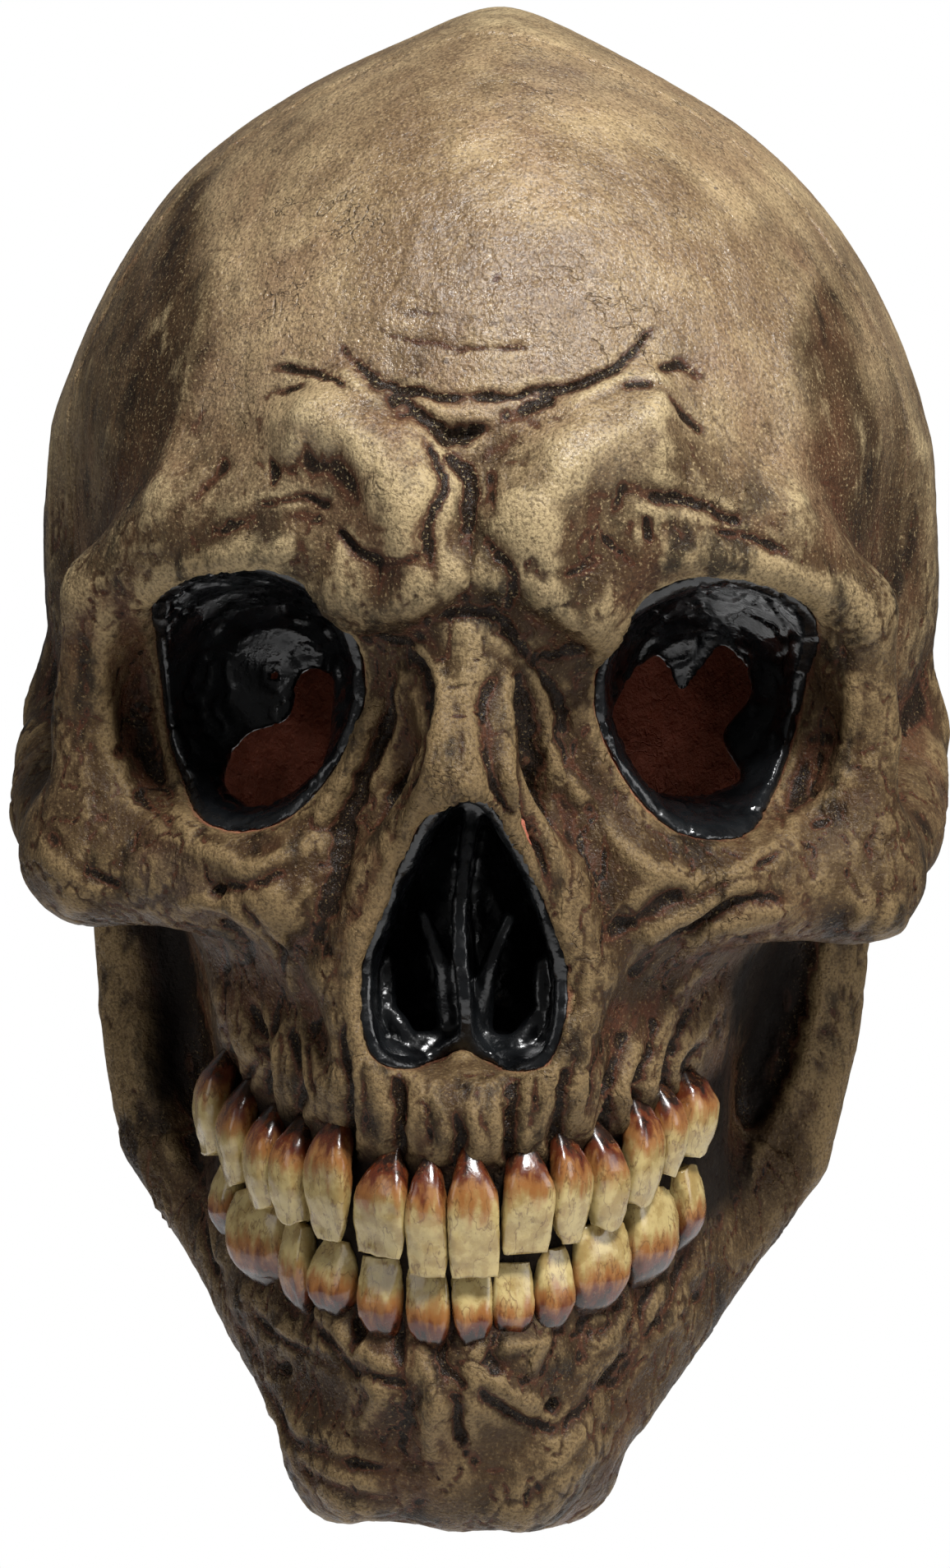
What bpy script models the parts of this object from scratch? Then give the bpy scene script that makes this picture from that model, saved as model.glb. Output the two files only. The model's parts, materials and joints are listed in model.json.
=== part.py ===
"""Full-head latex skull mask, built as separate pieces.

Lengths below are millimetres; every mesh is written in metres (see MM).
Origin: centre of the underside of the crown pad, which rests on the wearer's head.
+X is the wearer's left, -Y is the way the face looks, +Z is up.
"""
import math

import bmesh
import bpy
import numpy as np
from mathutils import Vector
from mathutils.bvhtree import BVHTree

MM = 0.001

# ---- driving sizes -------------------------------------------------------
WALL = 2.8                      # latex thickness
GAP = 0.4                       # clearance left between neighbouring pieces
SEAM_Y = -30.0                  # plane where the face casting meets the rear casting
CENTRE = (0.0, -8.0, -128.0)    # the skins are measured outwards from here
ROUGHNESS_OF_MESH = 5           # icosphere level of each skin
RIM_POINT = (-78.0, -291.0)     # neck opening: a slanted plane through this y, z
RIM_SLOPE = 0.60                # rise of the neck opening towards the nape

CUP_WALL = 2.0
CUP_SET_BACK = 1.2              # cup rims lie this far under the outside of the face
SEPTUM = 3.4                    # thickness of the wall between the nostrils
BREATHING_HOLE_R = 3.0

ARCH = 0.01695                  # plan curve of the tooth rows: depth grows with x squared
SMILE = 0.0050                  # both rows rise towards the cheeks
UPPER_FRONT = -125.0            # front of the middle upper teeth
LOWER_FRONT = -120.5
TOOTH_DEPTH = 7.5               # from the front of the upper teeth back to the skin
BITE_Z = -229.0                 # where the two rows meet at the middle
BITE_RISE = {"left": 0.0075, "right": 0.0040}   # the meeting line climbs with x squared
BITE_GAP = 0.5                  # between the two rows
MOUTH_MIDDLE = -1.5             # the bite is a little off the middle of the head
TOOTH_GAP = 1.0                 # between neighbours in a row
TOOTH_THICKNESS = 7.0

TAPE_WIDTH = 18.0
TAPE_THICKNESS = 0.8
TAPE_TOP_Z = -5.0               # the tapes stop below the crown pad
TAPE_LOW_X = 40.0               # and above the floor of the jaw

PAD_RADIUS = 46.0
FOLDS_MEET_Z = -106.0           # the two fold lines would meet at this height
SLIT_TOP_Z = -126.0             # top end of the slit at the nape
NECK_Z = -188.0                 # height of the neck opening beside the slit
FLAP_HALF_WIDTH = 36.0          # of both flaps together, at the neck opening
FLAP_GAP = 0.8                  # room for the flaps to swing past each other
FOLD_TOP = (0.0, 0.1328, -0.106) # where the two fold lines meet, metres

# ---- the head as rounded masses: centre, radii, blend ----------------------
CRANIUM = ((0, 6, -69), (98.7, 121, 104))
MASSES = (
    ((0, 18, -106), (96.5, 106, 74), 22),       # temples
    ((0, 28, -148), (76, 87, 94), 24),          # nape
    ((0, -48, -142), (70, 60, 52), 20),         # middle of the face
    ((0, -60, -168), (47, 55, 34), 16),         # maxilla
    ((0, 4, -205), (64, 60, 88), 20),           # neck
    ((0, -76, -262), (30, 31, 25), 16),         # chin
)
HOLLOWS = (
    ((101, -62, -84), (17, 34, 46), 14),        # temporal hollow behind the brow
    ((72, -62, -196), (13, 44, 34), 8),         # hollow cheek in front of the jaw branch
)
# ridges of bone: (x, y, z, radius) along each, then its blend
RIDGES = (
    (((6, -106, -76, 13), (34, -101, -74, 13), (60, -90, -77, 11), (79, -74, -92, 8)), 14),
    (((80, -74, -94, 7.5), (84, -70, -120, 7), (80, -72, -146, 9)), 8),
    (((80, -68, -150, 13), (62, -84, -151, 11), (36, -98, -150, 9)), 14),
    (((84, -64, -149, 12), (90, -42, -143, 12), (93, -16, -133, 11), (92, 4, -124, 10)), 10),
    (((0, -100, -92, 13), (0, -111, -112, 10), (0, -122, -126, 8)), 12),
    (((5, -119, -128, 6), (17, -112, -146, 6), (24, -107, -168, 7), (18, -112, -186, 7)), 8),
    (((80, -4, -150, 9), (76, -8, -190, 10), (69, -18, -218, 11), (55, -34, -234, 11),
      (42, -55, -247, 12), (30, -76, -261, 13), (14, -91, -270, 16), (0, -94, -271, 17)), 10),
)

# Teeth from the middle outwards, each as width, crown length and how far its edge stops
# short of the line where the rows meet. The rows are crooked, so the two sides differ.
TOOTH_NAMES = ("central_incisor", "lateral_incisor", "canine", "first_premolar",
               "second_premolar", "first_molar", "second_molar")
TEETH = {
    ("upper", "left"): ((11, 23, 0), (11, 19, 3), (11, 20, 1), (9, 17, 0), (11, 18, 0),
                        (8, 15, 1), (11, 14, 0)),
    ("upper", "right"): ((9, 21, 0), (14, 18, 2), (14, 23, 1), (10, 17, 1), (13, 17, 0),
                         (12, 18, 0), (12, 18, 2)),
    ("lower", "left"): ((9, 13, 0), (9, 14, 0), (10, 15, 0), (15, 16, 0), (17, 17, 1), (9, 14, 3)),
    ("lower", "right"): ((10, 14, 0), (11, 14, 0), (13, 13, 0), (12, 16, 0), (19, 16, 0),
                         (9, 11, 0)),
}

# Openings seen from the front, as (x, z) corners that are rounded into smooth outlines.
ORBIT = ((23, -114), (27, -94), (44, -84), (65, -88), (76, -103), (74, -126), (58, -140), (37, -136))
NOSTRIL = ((0, -129), (8, -135), (16, -152), (21, -168), (18, -183), (7, -186), (0, -183),
           (-7, -186), (-18, -183), (-21, -168), (-16, -152), (-8, -135))
VISION_LEFT = ((29, -116), (38, -104), (44, -112), (52, -102), (59, -111), (53, -121),
               (57, -130), (44, -133), (33, -128))
VISION_RIGHT = ((-31, -112), (-38, -110), (-41, -120), (-50, -124), (-53, -134), (-42, -137),
                (-33, -130))


# ---- signed distance of the head's outside ---------------------------------
def smooth_min(a, b, k):
    """Union of two distances, rounded over a width k."""
    h = np.maximum(k - np.abs(a - b), 0) / k
    return np.minimum(a, b) - h * h * k / 4


def smooth_max(a, b, k):
    return -smooth_min(-a, -b, k)


def ellipsoid(x, y, z, centre, radii):
    px, py, pz = x - centre[0], y - centre[1], z - centre[2]
    near = np.sqrt((px / radii[0])**2 + (py / radii[1])**2 + (pz / radii[2])**2)
    slope = np.sqrt((px / radii[0]**2)**2 + (py / radii[1]**2)**2 + (pz / radii[2]**2)**2)
    return near * (near - 1) / np.maximum(slope, 1e-6)


def ridge(x, y, z, points):
    """Distance to a rounded rod of changing radius."""
    best = np.full_like(x, 1e6)
    for start, end in zip(points, points[1:]):
        along = np.subtract(end[:3], start[:3])
        t = ((x - start[0]) * along[0] + (y - start[1]) * along[1]
             + (z - start[2]) * along[2]) / float(along @ along)
        t = np.clip(t, 0, 1)
        away = np.sqrt((x - start[0] - t * along[0])**2 + (y - start[1] - t * along[1])**2
                       + (z - start[2] - t * along[2])**2)
        best = np.minimum(best, away - (start[3] + t * (end[3] - start[3])))
    return best


def tooth_block(x, y, z):
    """Bow-shaped bone that carries the teeth, with a swelling above and below them."""
    side = np.minimum(x, 66)
    depth = (y - UPPER_FRONT - ARCH * side**2) / np.sqrt(1 + (2 * ARCH * side)**2)
    level = z - SMILE * side**2
    block = smooth_max(TOOTH_DEPTH - depth, np.abs(level + 222) - 30, 12)
    block = smooth_max(block, y + 30, 10)
    block = smooth_max(block, x - 58, 10)
    upper = np.sqrt((depth - 11)**2 + (level + 196)**2) - 9
    lower = np.sqrt((depth - 15)**2 + (level + 255)**2) - 9
    block = smooth_min(block, smooth_max(upper, x - 56, 6), 8)
    return smooth_min(block, smooth_max(lower, x - 50, 6), 8)


def head(x, y, z):
    x = np.abs(x)
    peak = np.clip((z + 60) / 95, 0, 1)
    wide = x * (1 + 0.15 * peak + 1.2 * peak**8)
    long = (y - CRANIUM[0][1]) * (1 + 0.05 * peak + 0.3 * peak**8)
    d = ellipsoid(wide, long, z, (0, 0, CRANIUM[0][2]), CRANIUM[1]) / (1 + 0.6 * peak**4)
    for centre, radii, blend in MASSES:
        d = smooth_min(d, ellipsoid(x, y, z, centre, radii), blend)
    d = smooth_min(d, tooth_block(x, y, z), 10)
    for centre, radii, blend in HOLLOWS:
        d = smooth_max(d, -ellipsoid(x, y, z, centre, radii), blend)
    for points, blend in RIDGES:
        d = smooth_min(d, ridge(x, y, z, points), blend)
    return d


# ---- meshes -----------------------------------------------------------------
def clear_scene():
    for thing in list(bpy.data.objects):
        bpy.data.objects.remove(thing, do_unlink=True)


def object_from(name, bm):
    bmesh.ops.recalc_face_normals(bm, faces=bm.faces)
    mesh = bpy.data.meshes.new(name)
    bm.to_mesh(mesh)
    bm.free()
    thing = bpy.data.objects.new(name, mesh)
    bpy.context.collection.objects.link(thing)
    return thing


def skin_surface(name, inset):
    """Closed surface lying `inset` below the outside of the head."""
    bm = bmesh.new()
    bmesh.ops.create_icosphere(bm, subdivisions=ROUGHNESS_OF_MESH, radius=1.0)
    bm.verts.ensure_lookup_table()
    rays = np.array([vertex.co[:] for vertex in bm.verts])
    rays /= np.linalg.norm(rays, axis=1)[:, None]
    steps = np.arange(30.0, 230.0, 1.5)
    at = [CENTRE[i] + rays[:, i, None] * steps[None, :] for i in range(3)]
    inside = head(*at) < -inset
    last = inside.shape[1] - 1 - np.argmax(inside[:, ::-1], axis=1)
    near, far = steps[last], steps[last] + 1.5
    for _ in range(14):
        middle = (near + far) / 2
        at = [CENTRE[i] + rays[:, i] * middle for i in range(3)]
        hit = head(*at) < -inset
        near = np.where(hit, middle, near)
        far = np.where(hit, far, middle)
    reach = relax(bm, (near + far) / 2)
    for vertex, ray, length in zip(bm.verts, rays, reach):
        vertex.co = [(CENTRE[i] + ray[i] * length) * MM for i in range(3)]
    return object_from(name, bm)


def relax(bm, reach):
    """Even out the reach of neighbouring vertices."""
    ends = np.array([[edge.verts[0].index, edge.verts[1].index] for edge in bm.edges])
    count = np.bincount(ends.ravel(), minlength=len(reach))
    for _ in range(2):
        total = np.bincount(ends[:, 0], reach[ends[:, 1]], len(reach))
        total += np.bincount(ends[:, 1], reach[ends[:, 0]], len(reach))
        reach = 0.5 * reach + 0.5 * total / count
    return reach


def copy_of(thing, name):
    twin = bpy.data.objects.new(name, thing.data.copy())
    bpy.context.collection.objects.link(twin)
    return twin


def combine(thing, tool, operation, keep_tool=False):
    """Boolean of two solids, kept as the first one's mesh."""
    step = thing.modifiers.new("cut", "BOOLEAN")
    step.operation = operation
    step.solver = "EXACT"
    step.object = tool
    graph = bpy.context.evaluated_depsgraph_get()
    made = bpy.data.meshes.new_from_object(thing.evaluated_get(graph))
    thing.modifiers.clear()
    thing.data = made
    if not keep_tool:
        bpy.data.objects.remove(tool, do_unlink=True)


def box(name, low, high):
    bm = bmesh.new()
    bmesh.ops.create_cube(bm, size=1.0)
    for vertex in bm.verts:
        vertex.co = [((low[i] + high[i]) / 2 + vertex.co[i] * (high[i] - low[i])) * MM
                     for i in range(3)]
    return object_from(name, bm)


def rim_height(y):
    return RIM_POINT[1] + (y - RIM_POINT[0]) * RIM_SLOPE


def below_rim(name, offset=0.0):
    """Everything under the slanted neck opening."""
    tool = box(name, (-200, -250, -400), (200, 250, 0))
    for vertex in tool.data.vertices:
        if vertex.co.z > -0.2:
            vertex.co.z = (rim_height(vertex.co.y / MM) + offset) * MM
    return tool


def rounded(corners, grow, pieces=3):
    """Smooth closed outline through the corners, moved outwards by grow."""
    points = np.array(corners, float)
    line = []
    for i in range(len(points)):
        a, b, c, d = (points[(i + k) % len(points)] for k in (-1, 0, 1, 2))
        for step in range(pieces):
            t = step / pieces
            line.append(0.5 * (2 * b + (c - a) * t + (2 * a - 5 * b + 4 * c - d) * t * t
                               + (3 * b - a - 3 * c + d) * t**3))
    line = np.array(line)
    run = np.roll(line, -1, axis=0) - np.roll(line, 1, axis=0)
    out = np.stack([run[:, 1], -run[:, 0]], axis=1) / np.linalg.norm(run, axis=1)[:, None]
    area = np.sum(line[:, 0] * np.roll(line[:, 1], -1) - line[:, 1] * np.roll(line[:, 0], -1))
    return line + out * grow * math.copysign(1.0, area)


def loft(name, outline, stations, turn):
    """Solid through scaled copies of an outline; stations are (y, scale, x shift)."""
    middle = outline.mean(axis=0)
    bm = bmesh.new()
    rings = []
    for y, scale, shift in stations:
        ring = []
        for x, z in outline:
            across = middle[0] + (x - middle[0]) * scale + shift * turn
            ring.append(bm.verts.new((across * MM, y * MM, (middle[1] + (z - middle[1]) * scale) * MM)))
        rings.append(ring)
    for one, two in zip(rings, rings[1:]):
        for i in range(len(one)):
            j = (i + 1) % len(one)
            bm.faces.new((one[i], one[j], two[j], two[i]))
    bm.faces.new(rings[0])
    bm.faces.new(rings[-1])
    return object_from(name, bm)


def mirrored(corners):
    return [(-x, z) for x, z in corners]


# ---- skins --------------------------------------------------------------------
def make_skins(outside):
    """The two castings as one shell, before openings are cut."""
    shell = copy_of(outside, "shell")
    combine(shell, skin_surface("hollow", WALL), "DIFFERENCE")
    combine(shell, below_rim("neck_cut"), "DIFFERENCE")
    face = copy_of(shell, "face_skin")
    combine(face, box("rear_half", (-200, SEAM_Y - GAP / 2, -400), (200, 250, 100)), "DIFFERENCE")
    rear = shell
    rear.name = "rear_skin"
    combine(rear, box("front_half", (-200, -250, -400), (200, SEAM_Y + GAP / 2, 100)), "DIFFERENCE")
    return face, rear


def fold_prism(name, side, shrink):
    """Wedge between the slit and one fold line, run through the nape."""
    slope = FLAP_HALF_WIDTH / (FOLDS_MEET_Z - NECK_Z)
    edge = shrink * math.hypot(1.0, slope)
    corners = [(shrink / 2, -270.0), (shrink / 2, SLIT_TOP_Z - shrink)]
    corners += [(slope * (FOLDS_MEET_Z - z) - edge, z) for _, z in reversed(corners)]
    bm = bmesh.new()
    near = [bm.verts.new((side * x * MM, 20 * MM, z * MM)) for x, z in corners]
    far = [bm.verts.new((side * x * MM, 160 * MM, z * MM)) for x, z in corners]
    bm.faces.new(near)
    bm.faces.new(far)
    for i in range(len(corners)):
        j = (i + 1) % len(corners)
        bm.faces.new((near[i], near[j], far[j], far[i]))
    return object_from(name, bm)


def make_flap(rear, name, side):
    flap = copy_of(rear, name)
    combine(flap, fold_prism("flap_cut", side, FLAP_GAP), "INTERSECT")
    return flap


# ---- cups -------------------------------------------------------------------
ORBIT_STATIONS = ((-150, 1.10, 0), (-100, 1.0, 0), (-84, 0.96, 0), (-72, 0.86, -2.5),
                  (-64, 0.70, -4.0), (-59, 0.48, -5.0))
NOSE_STATIONS = ((-150, 1.12, 0), (-112, 1.0, 0), (-100, 0.96, 0), (-90, 0.84, 0),
                 (-85, 0.6, 0))


def make_eye_cup(name, face, inside, side, vision):
    corners = ORBIT if side > 0 else mirrored(ORBIT)
    combine(face, loft("socket", rounded(corners, GAP), ORBIT_STATIONS, side), "DIFFERENCE")
    cup = loft(name, rounded(corners, 0.0), ORBIT_STATIONS, side)
    hollow = [(y - CUP_WALL, scale, shift) for y, scale, shift in ORBIT_STATIONS]
    hollow[0] = (-160, hollow[0][1], 0)
    combine(cup, loft("bowl", rounded(corners, -CUP_WALL), hollow, side), "DIFFERENCE")
    through = [(-80, 1.0, 0), (-40, 1.0, 0)]
    combine(cup, loft("cut_out", rounded(vision, 0.0), through, side), "DIFFERENCE")
    combine(cup, inside, "INTERSECT", keep_tool=True)
    return cup


def make_nasal_cup(name, face, inside):
    combine(face, loft("opening", rounded(NOSTRIL, GAP, 2), NOSE_STATIONS, 1), "DIFFERENCE")
    cup = loft(name, rounded(NOSTRIL, 0.0, 2), NOSE_STATIONS, 1)
    hollow = [(y - CUP_WALL, scale, shift) for y, scale, shift in NOSE_STATIONS]
    hollow[0] = (-160, hollow[0][1], 0)
    combine(cup, loft("bowl", rounded(NOSTRIL, -CUP_WALL, 2), hollow, 1), "DIFFERENCE")
    septum = box("septum", (-SEPTUM / 2, -113, -190), (SEPTUM / 2, -80, -134))
    middle = [(y - CUP_WALL / 2, scale, shift) for y, scale, shift in NOSE_STATIONS]
    combine(septum, loft("trim", rounded(NOSTRIL, -CUP_WALL / 2, 2), middle, 1), "INTERSECT")
    combine(cup, septum, "UNION")
    for side in (-1, 1):
        bm = bmesh.new()
        bmesh.ops.create_cone(bm, cap_ends=True, segments=16, radius1=BREATHING_HOLE_R * MM,
                              radius2=BREATHING_HOLE_R * MM, depth=30 * MM)
        bmesh.ops.rotate(bm, verts=bm.verts, matrix=Vector((0, 1, 0)).to_track_quat("Z", "X").to_matrix())
        bmesh.ops.translate(bm, verts=bm.verts, vec=(side * 7.5 * MM, -88 * MM, -157 * MM))
        combine(cup, object_from("hole", bm), "DIFFERENCE")
    combine(cup, inside, "INTERSECT", keep_tool=True)
    return cup


# ---- teeth ----------------------------------------------------------------------
def row_x(length):
    """Sideways position of a point a given length along the bowed row."""
    low, high = 0.0, abs(length)
    for _ in range(30):
        x = (low + high) / 2
        t = 2 * ARCH * x
        reach = (t * math.hypot(1, t) + math.asinh(t)) / (4 * ARCH)
        low, high = (x, high) if reach < abs(length) else (low, x)
    return math.copysign(low, length)


def make_tooth(name, skin, x, width, edge_z, root_z, front_y):
    y = front_y + ARCH * x * x
    inward = Vector((-2 * ARCH * x, 1.0, 0.0)).normalized()
    across = Vector((inward.y, -inward.x, 0.0))
    taper = math.copysign(1.0, root_z - edge_z)
    height = abs(root_z - edge_z)
    bm = bmesh.new()
    bmesh.ops.create_cube(bm, size=2.0)
    bmesh.ops.subdivide_edges(bm, edges=bm.edges, cuts=2, use_grid_fill=True)
    for vertex in bm.verts:
        a, b, c = vertex.co
        size = (a**4 + b**4 + c**4) ** 0.25
        a, b, c = (value * max(abs(a), abs(b), abs(c)) / size for value in (a, b, c))
        belly = 1.0 - 0.16 * max(c * taper, 0.0) - 0.05 * c * c
        place = Vector((x, y, (edge_z + root_z) / 2 + c * height / 2)) * MM
        place += across * (a * (belly - 0.12 * (b + 1)) * width / 2 * MM)
        place += inward * ((b + 1) * TOOTH_THICKNESS / 2 * MM)
        limit = skin.ray_cast(place - inward * 40 * MM, inward, 0.08)[3]
        if limit is not None:
            place += inward * min(0.0, limit - (40 + 0.45) * MM)
        vertex.co = place
    return object_from(name, bm)


def tooth_row(row, word):
    """Name, sideways place, width, edge height and root height of each tooth of one side."""
    side = 1 if word == "left" else -1
    start = side * MOUTH_MIDDLE + TOOTH_GAP / 2
    places = []
    for tooth, (width, length, short) in zip(TOOTH_NAMES, TEETH[row, word]):
        x = row_x(side * (start + width / 2))
        bite = BITE_Z + BITE_RISE[word] * x * x
        if row == "upper":
            edge, root = bite + short, bite + short + length
        else:
            edge, root = bite - short - BITE_GAP, bite - short - length
        places.append((f"{row}_{word}_{tooth}", x, width, edge, root))
        start += width + TOOTH_GAP
    return places


def make_teeth(face):
    skin = BVHTree.FromObject(face, bpy.context.evaluated_depsgraph_get())
    made = []
    for word in ("left", "right"):
        upper = tooth_row("upper", word)
        for name, x, width, edge, root in upper:
            made.append(make_tooth(name, skin, x, width, edge, root, UPPER_FRONT))
        for name, x, width, edge, root in tooth_row("lower", word):
            reach = width / 2 + TOOTH_THICKNESS
            above = [place[3] - BITE_GAP for place in upper if abs(place[1] - x) < reach]
            made.append(make_tooth(name, skin, x, width, min([edge] + above), root, LOWER_FRONT))
    return made


# ---- inner pieces -----------------------------------------------------------------
def make_tapes(outer, inner):
    """Cloth strips glued over the seam inside the mask."""
    band = copy_of(outer, "band")
    combine(band, inner, "DIFFERENCE")
    combine(band, below_rim("neck_cut", 3.0), "DIFFERENCE")
    tapes = []
    for side, word in ((1, "left"), (-1, "right")):
        tape = copy_of(band, f"seam_tape_{word}")
        ends = sorted((side * TAPE_LOW_X, side * 200))
        strip = box("strip", (ends[0], SEAM_Y - TAPE_WIDTH / 2, -300),
                    (ends[1], SEAM_Y + TAPE_WIDTH / 2, TAPE_TOP_Z))
        combine(tape, strip, "INTERSECT")
        tapes.append(tape)
    bpy.data.objects.remove(band, do_unlink=True)
    return tapes


def make_pad(outer):
    bm = bmesh.new()
    bmesh.ops.create_cone(bm, cap_ends=True, segments=64, radius1=PAD_RADIUS * MM,
                          radius2=PAD_RADIUS * MM, depth=60 * MM)
    bmesh.ops.translate(bm, verts=bm.verts, vec=(0, 0, 30 * MM))
    pad = object_from("crown_foam_pad", bm)
    combine(pad, outer, "INTERSECT", keep_tool=True)
    return pad


# ---- finish --------------------------------------------------------------------------
LOOKS = {
    "bone_latex": ((0.42, 0.32, 0.20), 0.45),
    "black_latex": ((0.012, 0.013, 0.015), 0.18),
    "tooth_ivory": ((0.62, 0.50, 0.30), 0.25),
    "seam_gauze": ((0.40, 0.27, 0.20), 0.9),
    "crown_foam": ((0.06, 0.06, 0.065), 0.95),
}


def material(slot):
    made = bpy.data.materials.get(slot)
    if made is None:
        colour, roughness = LOOKS[slot]
        made = bpy.data.materials.new(slot)
        made.use_nodes = True
        shader = made.node_tree.nodes["Principled BSDF"]
        shader.inputs["Base Color"].default_value = (*colour, 1.0)
        shader.inputs["Roughness"].default_value = roughness
    return made


def finish(thing, slot, origin=(0.0, 0.0, 0.0)):
    bm = bmesh.new()
    bm.from_mesh(thing.data)
    bmesh.ops.remove_doubles(bm, verts=bm.verts, dist=0.00002)
    bmesh.ops.dissolve_degenerate(bm, edges=bm.edges, dist=0.00001)
    bmesh.ops.triangulate(bm, faces=[face for face in bm.faces if len(face.verts) > 4])
    bmesh.ops.recalc_face_normals(bm, faces=bm.faces)
    bmesh.ops.translate(bm, verts=bm.verts, vec=[-value for value in origin])
    for face in bm.faces:
        face.smooth = True
    bm.to_mesh(thing.data)
    bm.free()
    thing.data.set_sharp_from_angle(angle=math.radians(40))
    thing.data.name = thing.name
    thing.data.materials.clear()
    thing.data.materials.append(material(slot))
    thing.location = origin


def build():
    clear_scene()
    outside = skin_surface("outside", 0.0)
    face, rear = make_skins(outside)
    flaps = [make_flap(rear, "slit_flap_left", 1), make_flap(rear, "slit_flap_right", -1)]
    for side in (1, -1):
        combine(rear, fold_prism("flap_room", side, 0.0), "DIFFERENCE")
    bpy.data.objects.remove(outside, do_unlink=True)

    inside = skin_surface("inside", CUP_SET_BACK)
    cups = [make_eye_cup("eye_socket_cup_left", face, inside, 1, VISION_LEFT),
            make_eye_cup("eye_socket_cup_right", face, inside, -1, VISION_RIGHT),
            make_nasal_cup("nasal_cavity_cup", face, inside)]
    bpy.data.objects.remove(inside, do_unlink=True)

    lining = skin_surface("lining", WALL + GAP)
    pad = make_pad(lining)
    tapes = make_tapes(lining, skin_surface("lining_back", WALL + GAP + TAPE_THICKNESS))
    bpy.data.objects.remove(lining, do_unlink=True)

    finish(face, "bone_latex")
    finish(rear, "bone_latex")
    for flap in flaps:
        finish(flap, "bone_latex", FOLD_TOP)
    for cup in cups:
        finish(cup, "black_latex")
    for tooth in make_teeth(face):
        finish(tooth, "tooth_ivory")
    for tape in tapes:
        finish(tape, "seam_gauze")
    finish(pad, "crown_foam")


build()
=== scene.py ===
"""Looks of the full-head latex skull mask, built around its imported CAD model.

Shapes are worked out in millimetres and written into meshes in metres (see MM).
+X is the wearer's left, -Y is the way the face looks, +Z is up.
"""
import json
import math

import bpy
import numpy as np
import openvdb as vdb
from mathutils import Matrix, Vector


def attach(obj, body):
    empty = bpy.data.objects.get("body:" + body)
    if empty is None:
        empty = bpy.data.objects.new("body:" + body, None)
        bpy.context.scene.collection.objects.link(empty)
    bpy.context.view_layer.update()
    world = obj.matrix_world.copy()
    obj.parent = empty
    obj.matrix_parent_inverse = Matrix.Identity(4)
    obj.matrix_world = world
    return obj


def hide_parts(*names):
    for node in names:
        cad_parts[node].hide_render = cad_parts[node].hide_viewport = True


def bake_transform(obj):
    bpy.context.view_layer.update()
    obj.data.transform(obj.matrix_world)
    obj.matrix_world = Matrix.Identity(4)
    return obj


MM = 0.001
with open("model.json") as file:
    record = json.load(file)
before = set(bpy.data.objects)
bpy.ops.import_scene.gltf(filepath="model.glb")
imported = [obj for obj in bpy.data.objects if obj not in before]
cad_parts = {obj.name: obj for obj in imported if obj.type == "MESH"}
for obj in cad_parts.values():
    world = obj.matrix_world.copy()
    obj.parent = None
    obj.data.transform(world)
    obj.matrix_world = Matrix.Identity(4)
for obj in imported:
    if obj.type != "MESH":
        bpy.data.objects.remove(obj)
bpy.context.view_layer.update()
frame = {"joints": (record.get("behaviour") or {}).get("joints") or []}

# ---- sizes shared with the CAD ----
WALL = 2.8
SEAM_Y = -30.0
RIM_POINT = (-78.0, -291.0)
RIM_SLOPE = 0.60
CUP_WALL = 2.0
CUP_SET_BACK = 1.0
ARCH = 0.01695
SMILE = 0.0050
UPPER_FRONT = -125.0
LOWER_FRONT = -120.5
BLOCK_DEPTH = 7.5
BITE_Z = -229.0
BITE_RISE = {"left": 0.0075, "right": 0.0040}
MOUTH_MIDDLE = -1.5
TOOTH_GAP = 1.0
FOLDS_MEET_Z = -106.0
NECK_Z = -188.0
FLAP_HALF_WIDTH = 36.0
FOLD_SLOPE = FLAP_HALF_WIDTH / (FOLDS_MEET_Z - NECK_Z)
PAD_RADIUS = 46.0
TAPE_WIDTH = 18.0
TAPE_THICKNESS = 0.8
TAPE_TOP_Z = -5.0
TAPE_FOOT_Z = -246.0
TAPE_COLUMNS, TAPE_ROWS = 13, 150
CHIN_FLOOR_Z, CHIN_BACK_Y = -268.0, -50.0   # the chin is solid below and in front of these
OPENING_BACK_Y = -56.0                      # the holes of the face are cut in front of this
EYE_CUP_BACK_Y = -57.0
NOSE_CUP_BACK_Y = -83.0
VISION_FRONT_Y = -84.0                      # the looking holes are cut behind this
LEFT_ORBIT_OUT = 3.5                        # the wearer's left orbit sits further out

# ---- how fine each mesh is ----
FACE_STEP = 1.0
FACE_KEEP = 0.37                # share of the face's fine triangles that is kept
REAR_STEP = 1.8
CUP_STEP = 0.8

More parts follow.
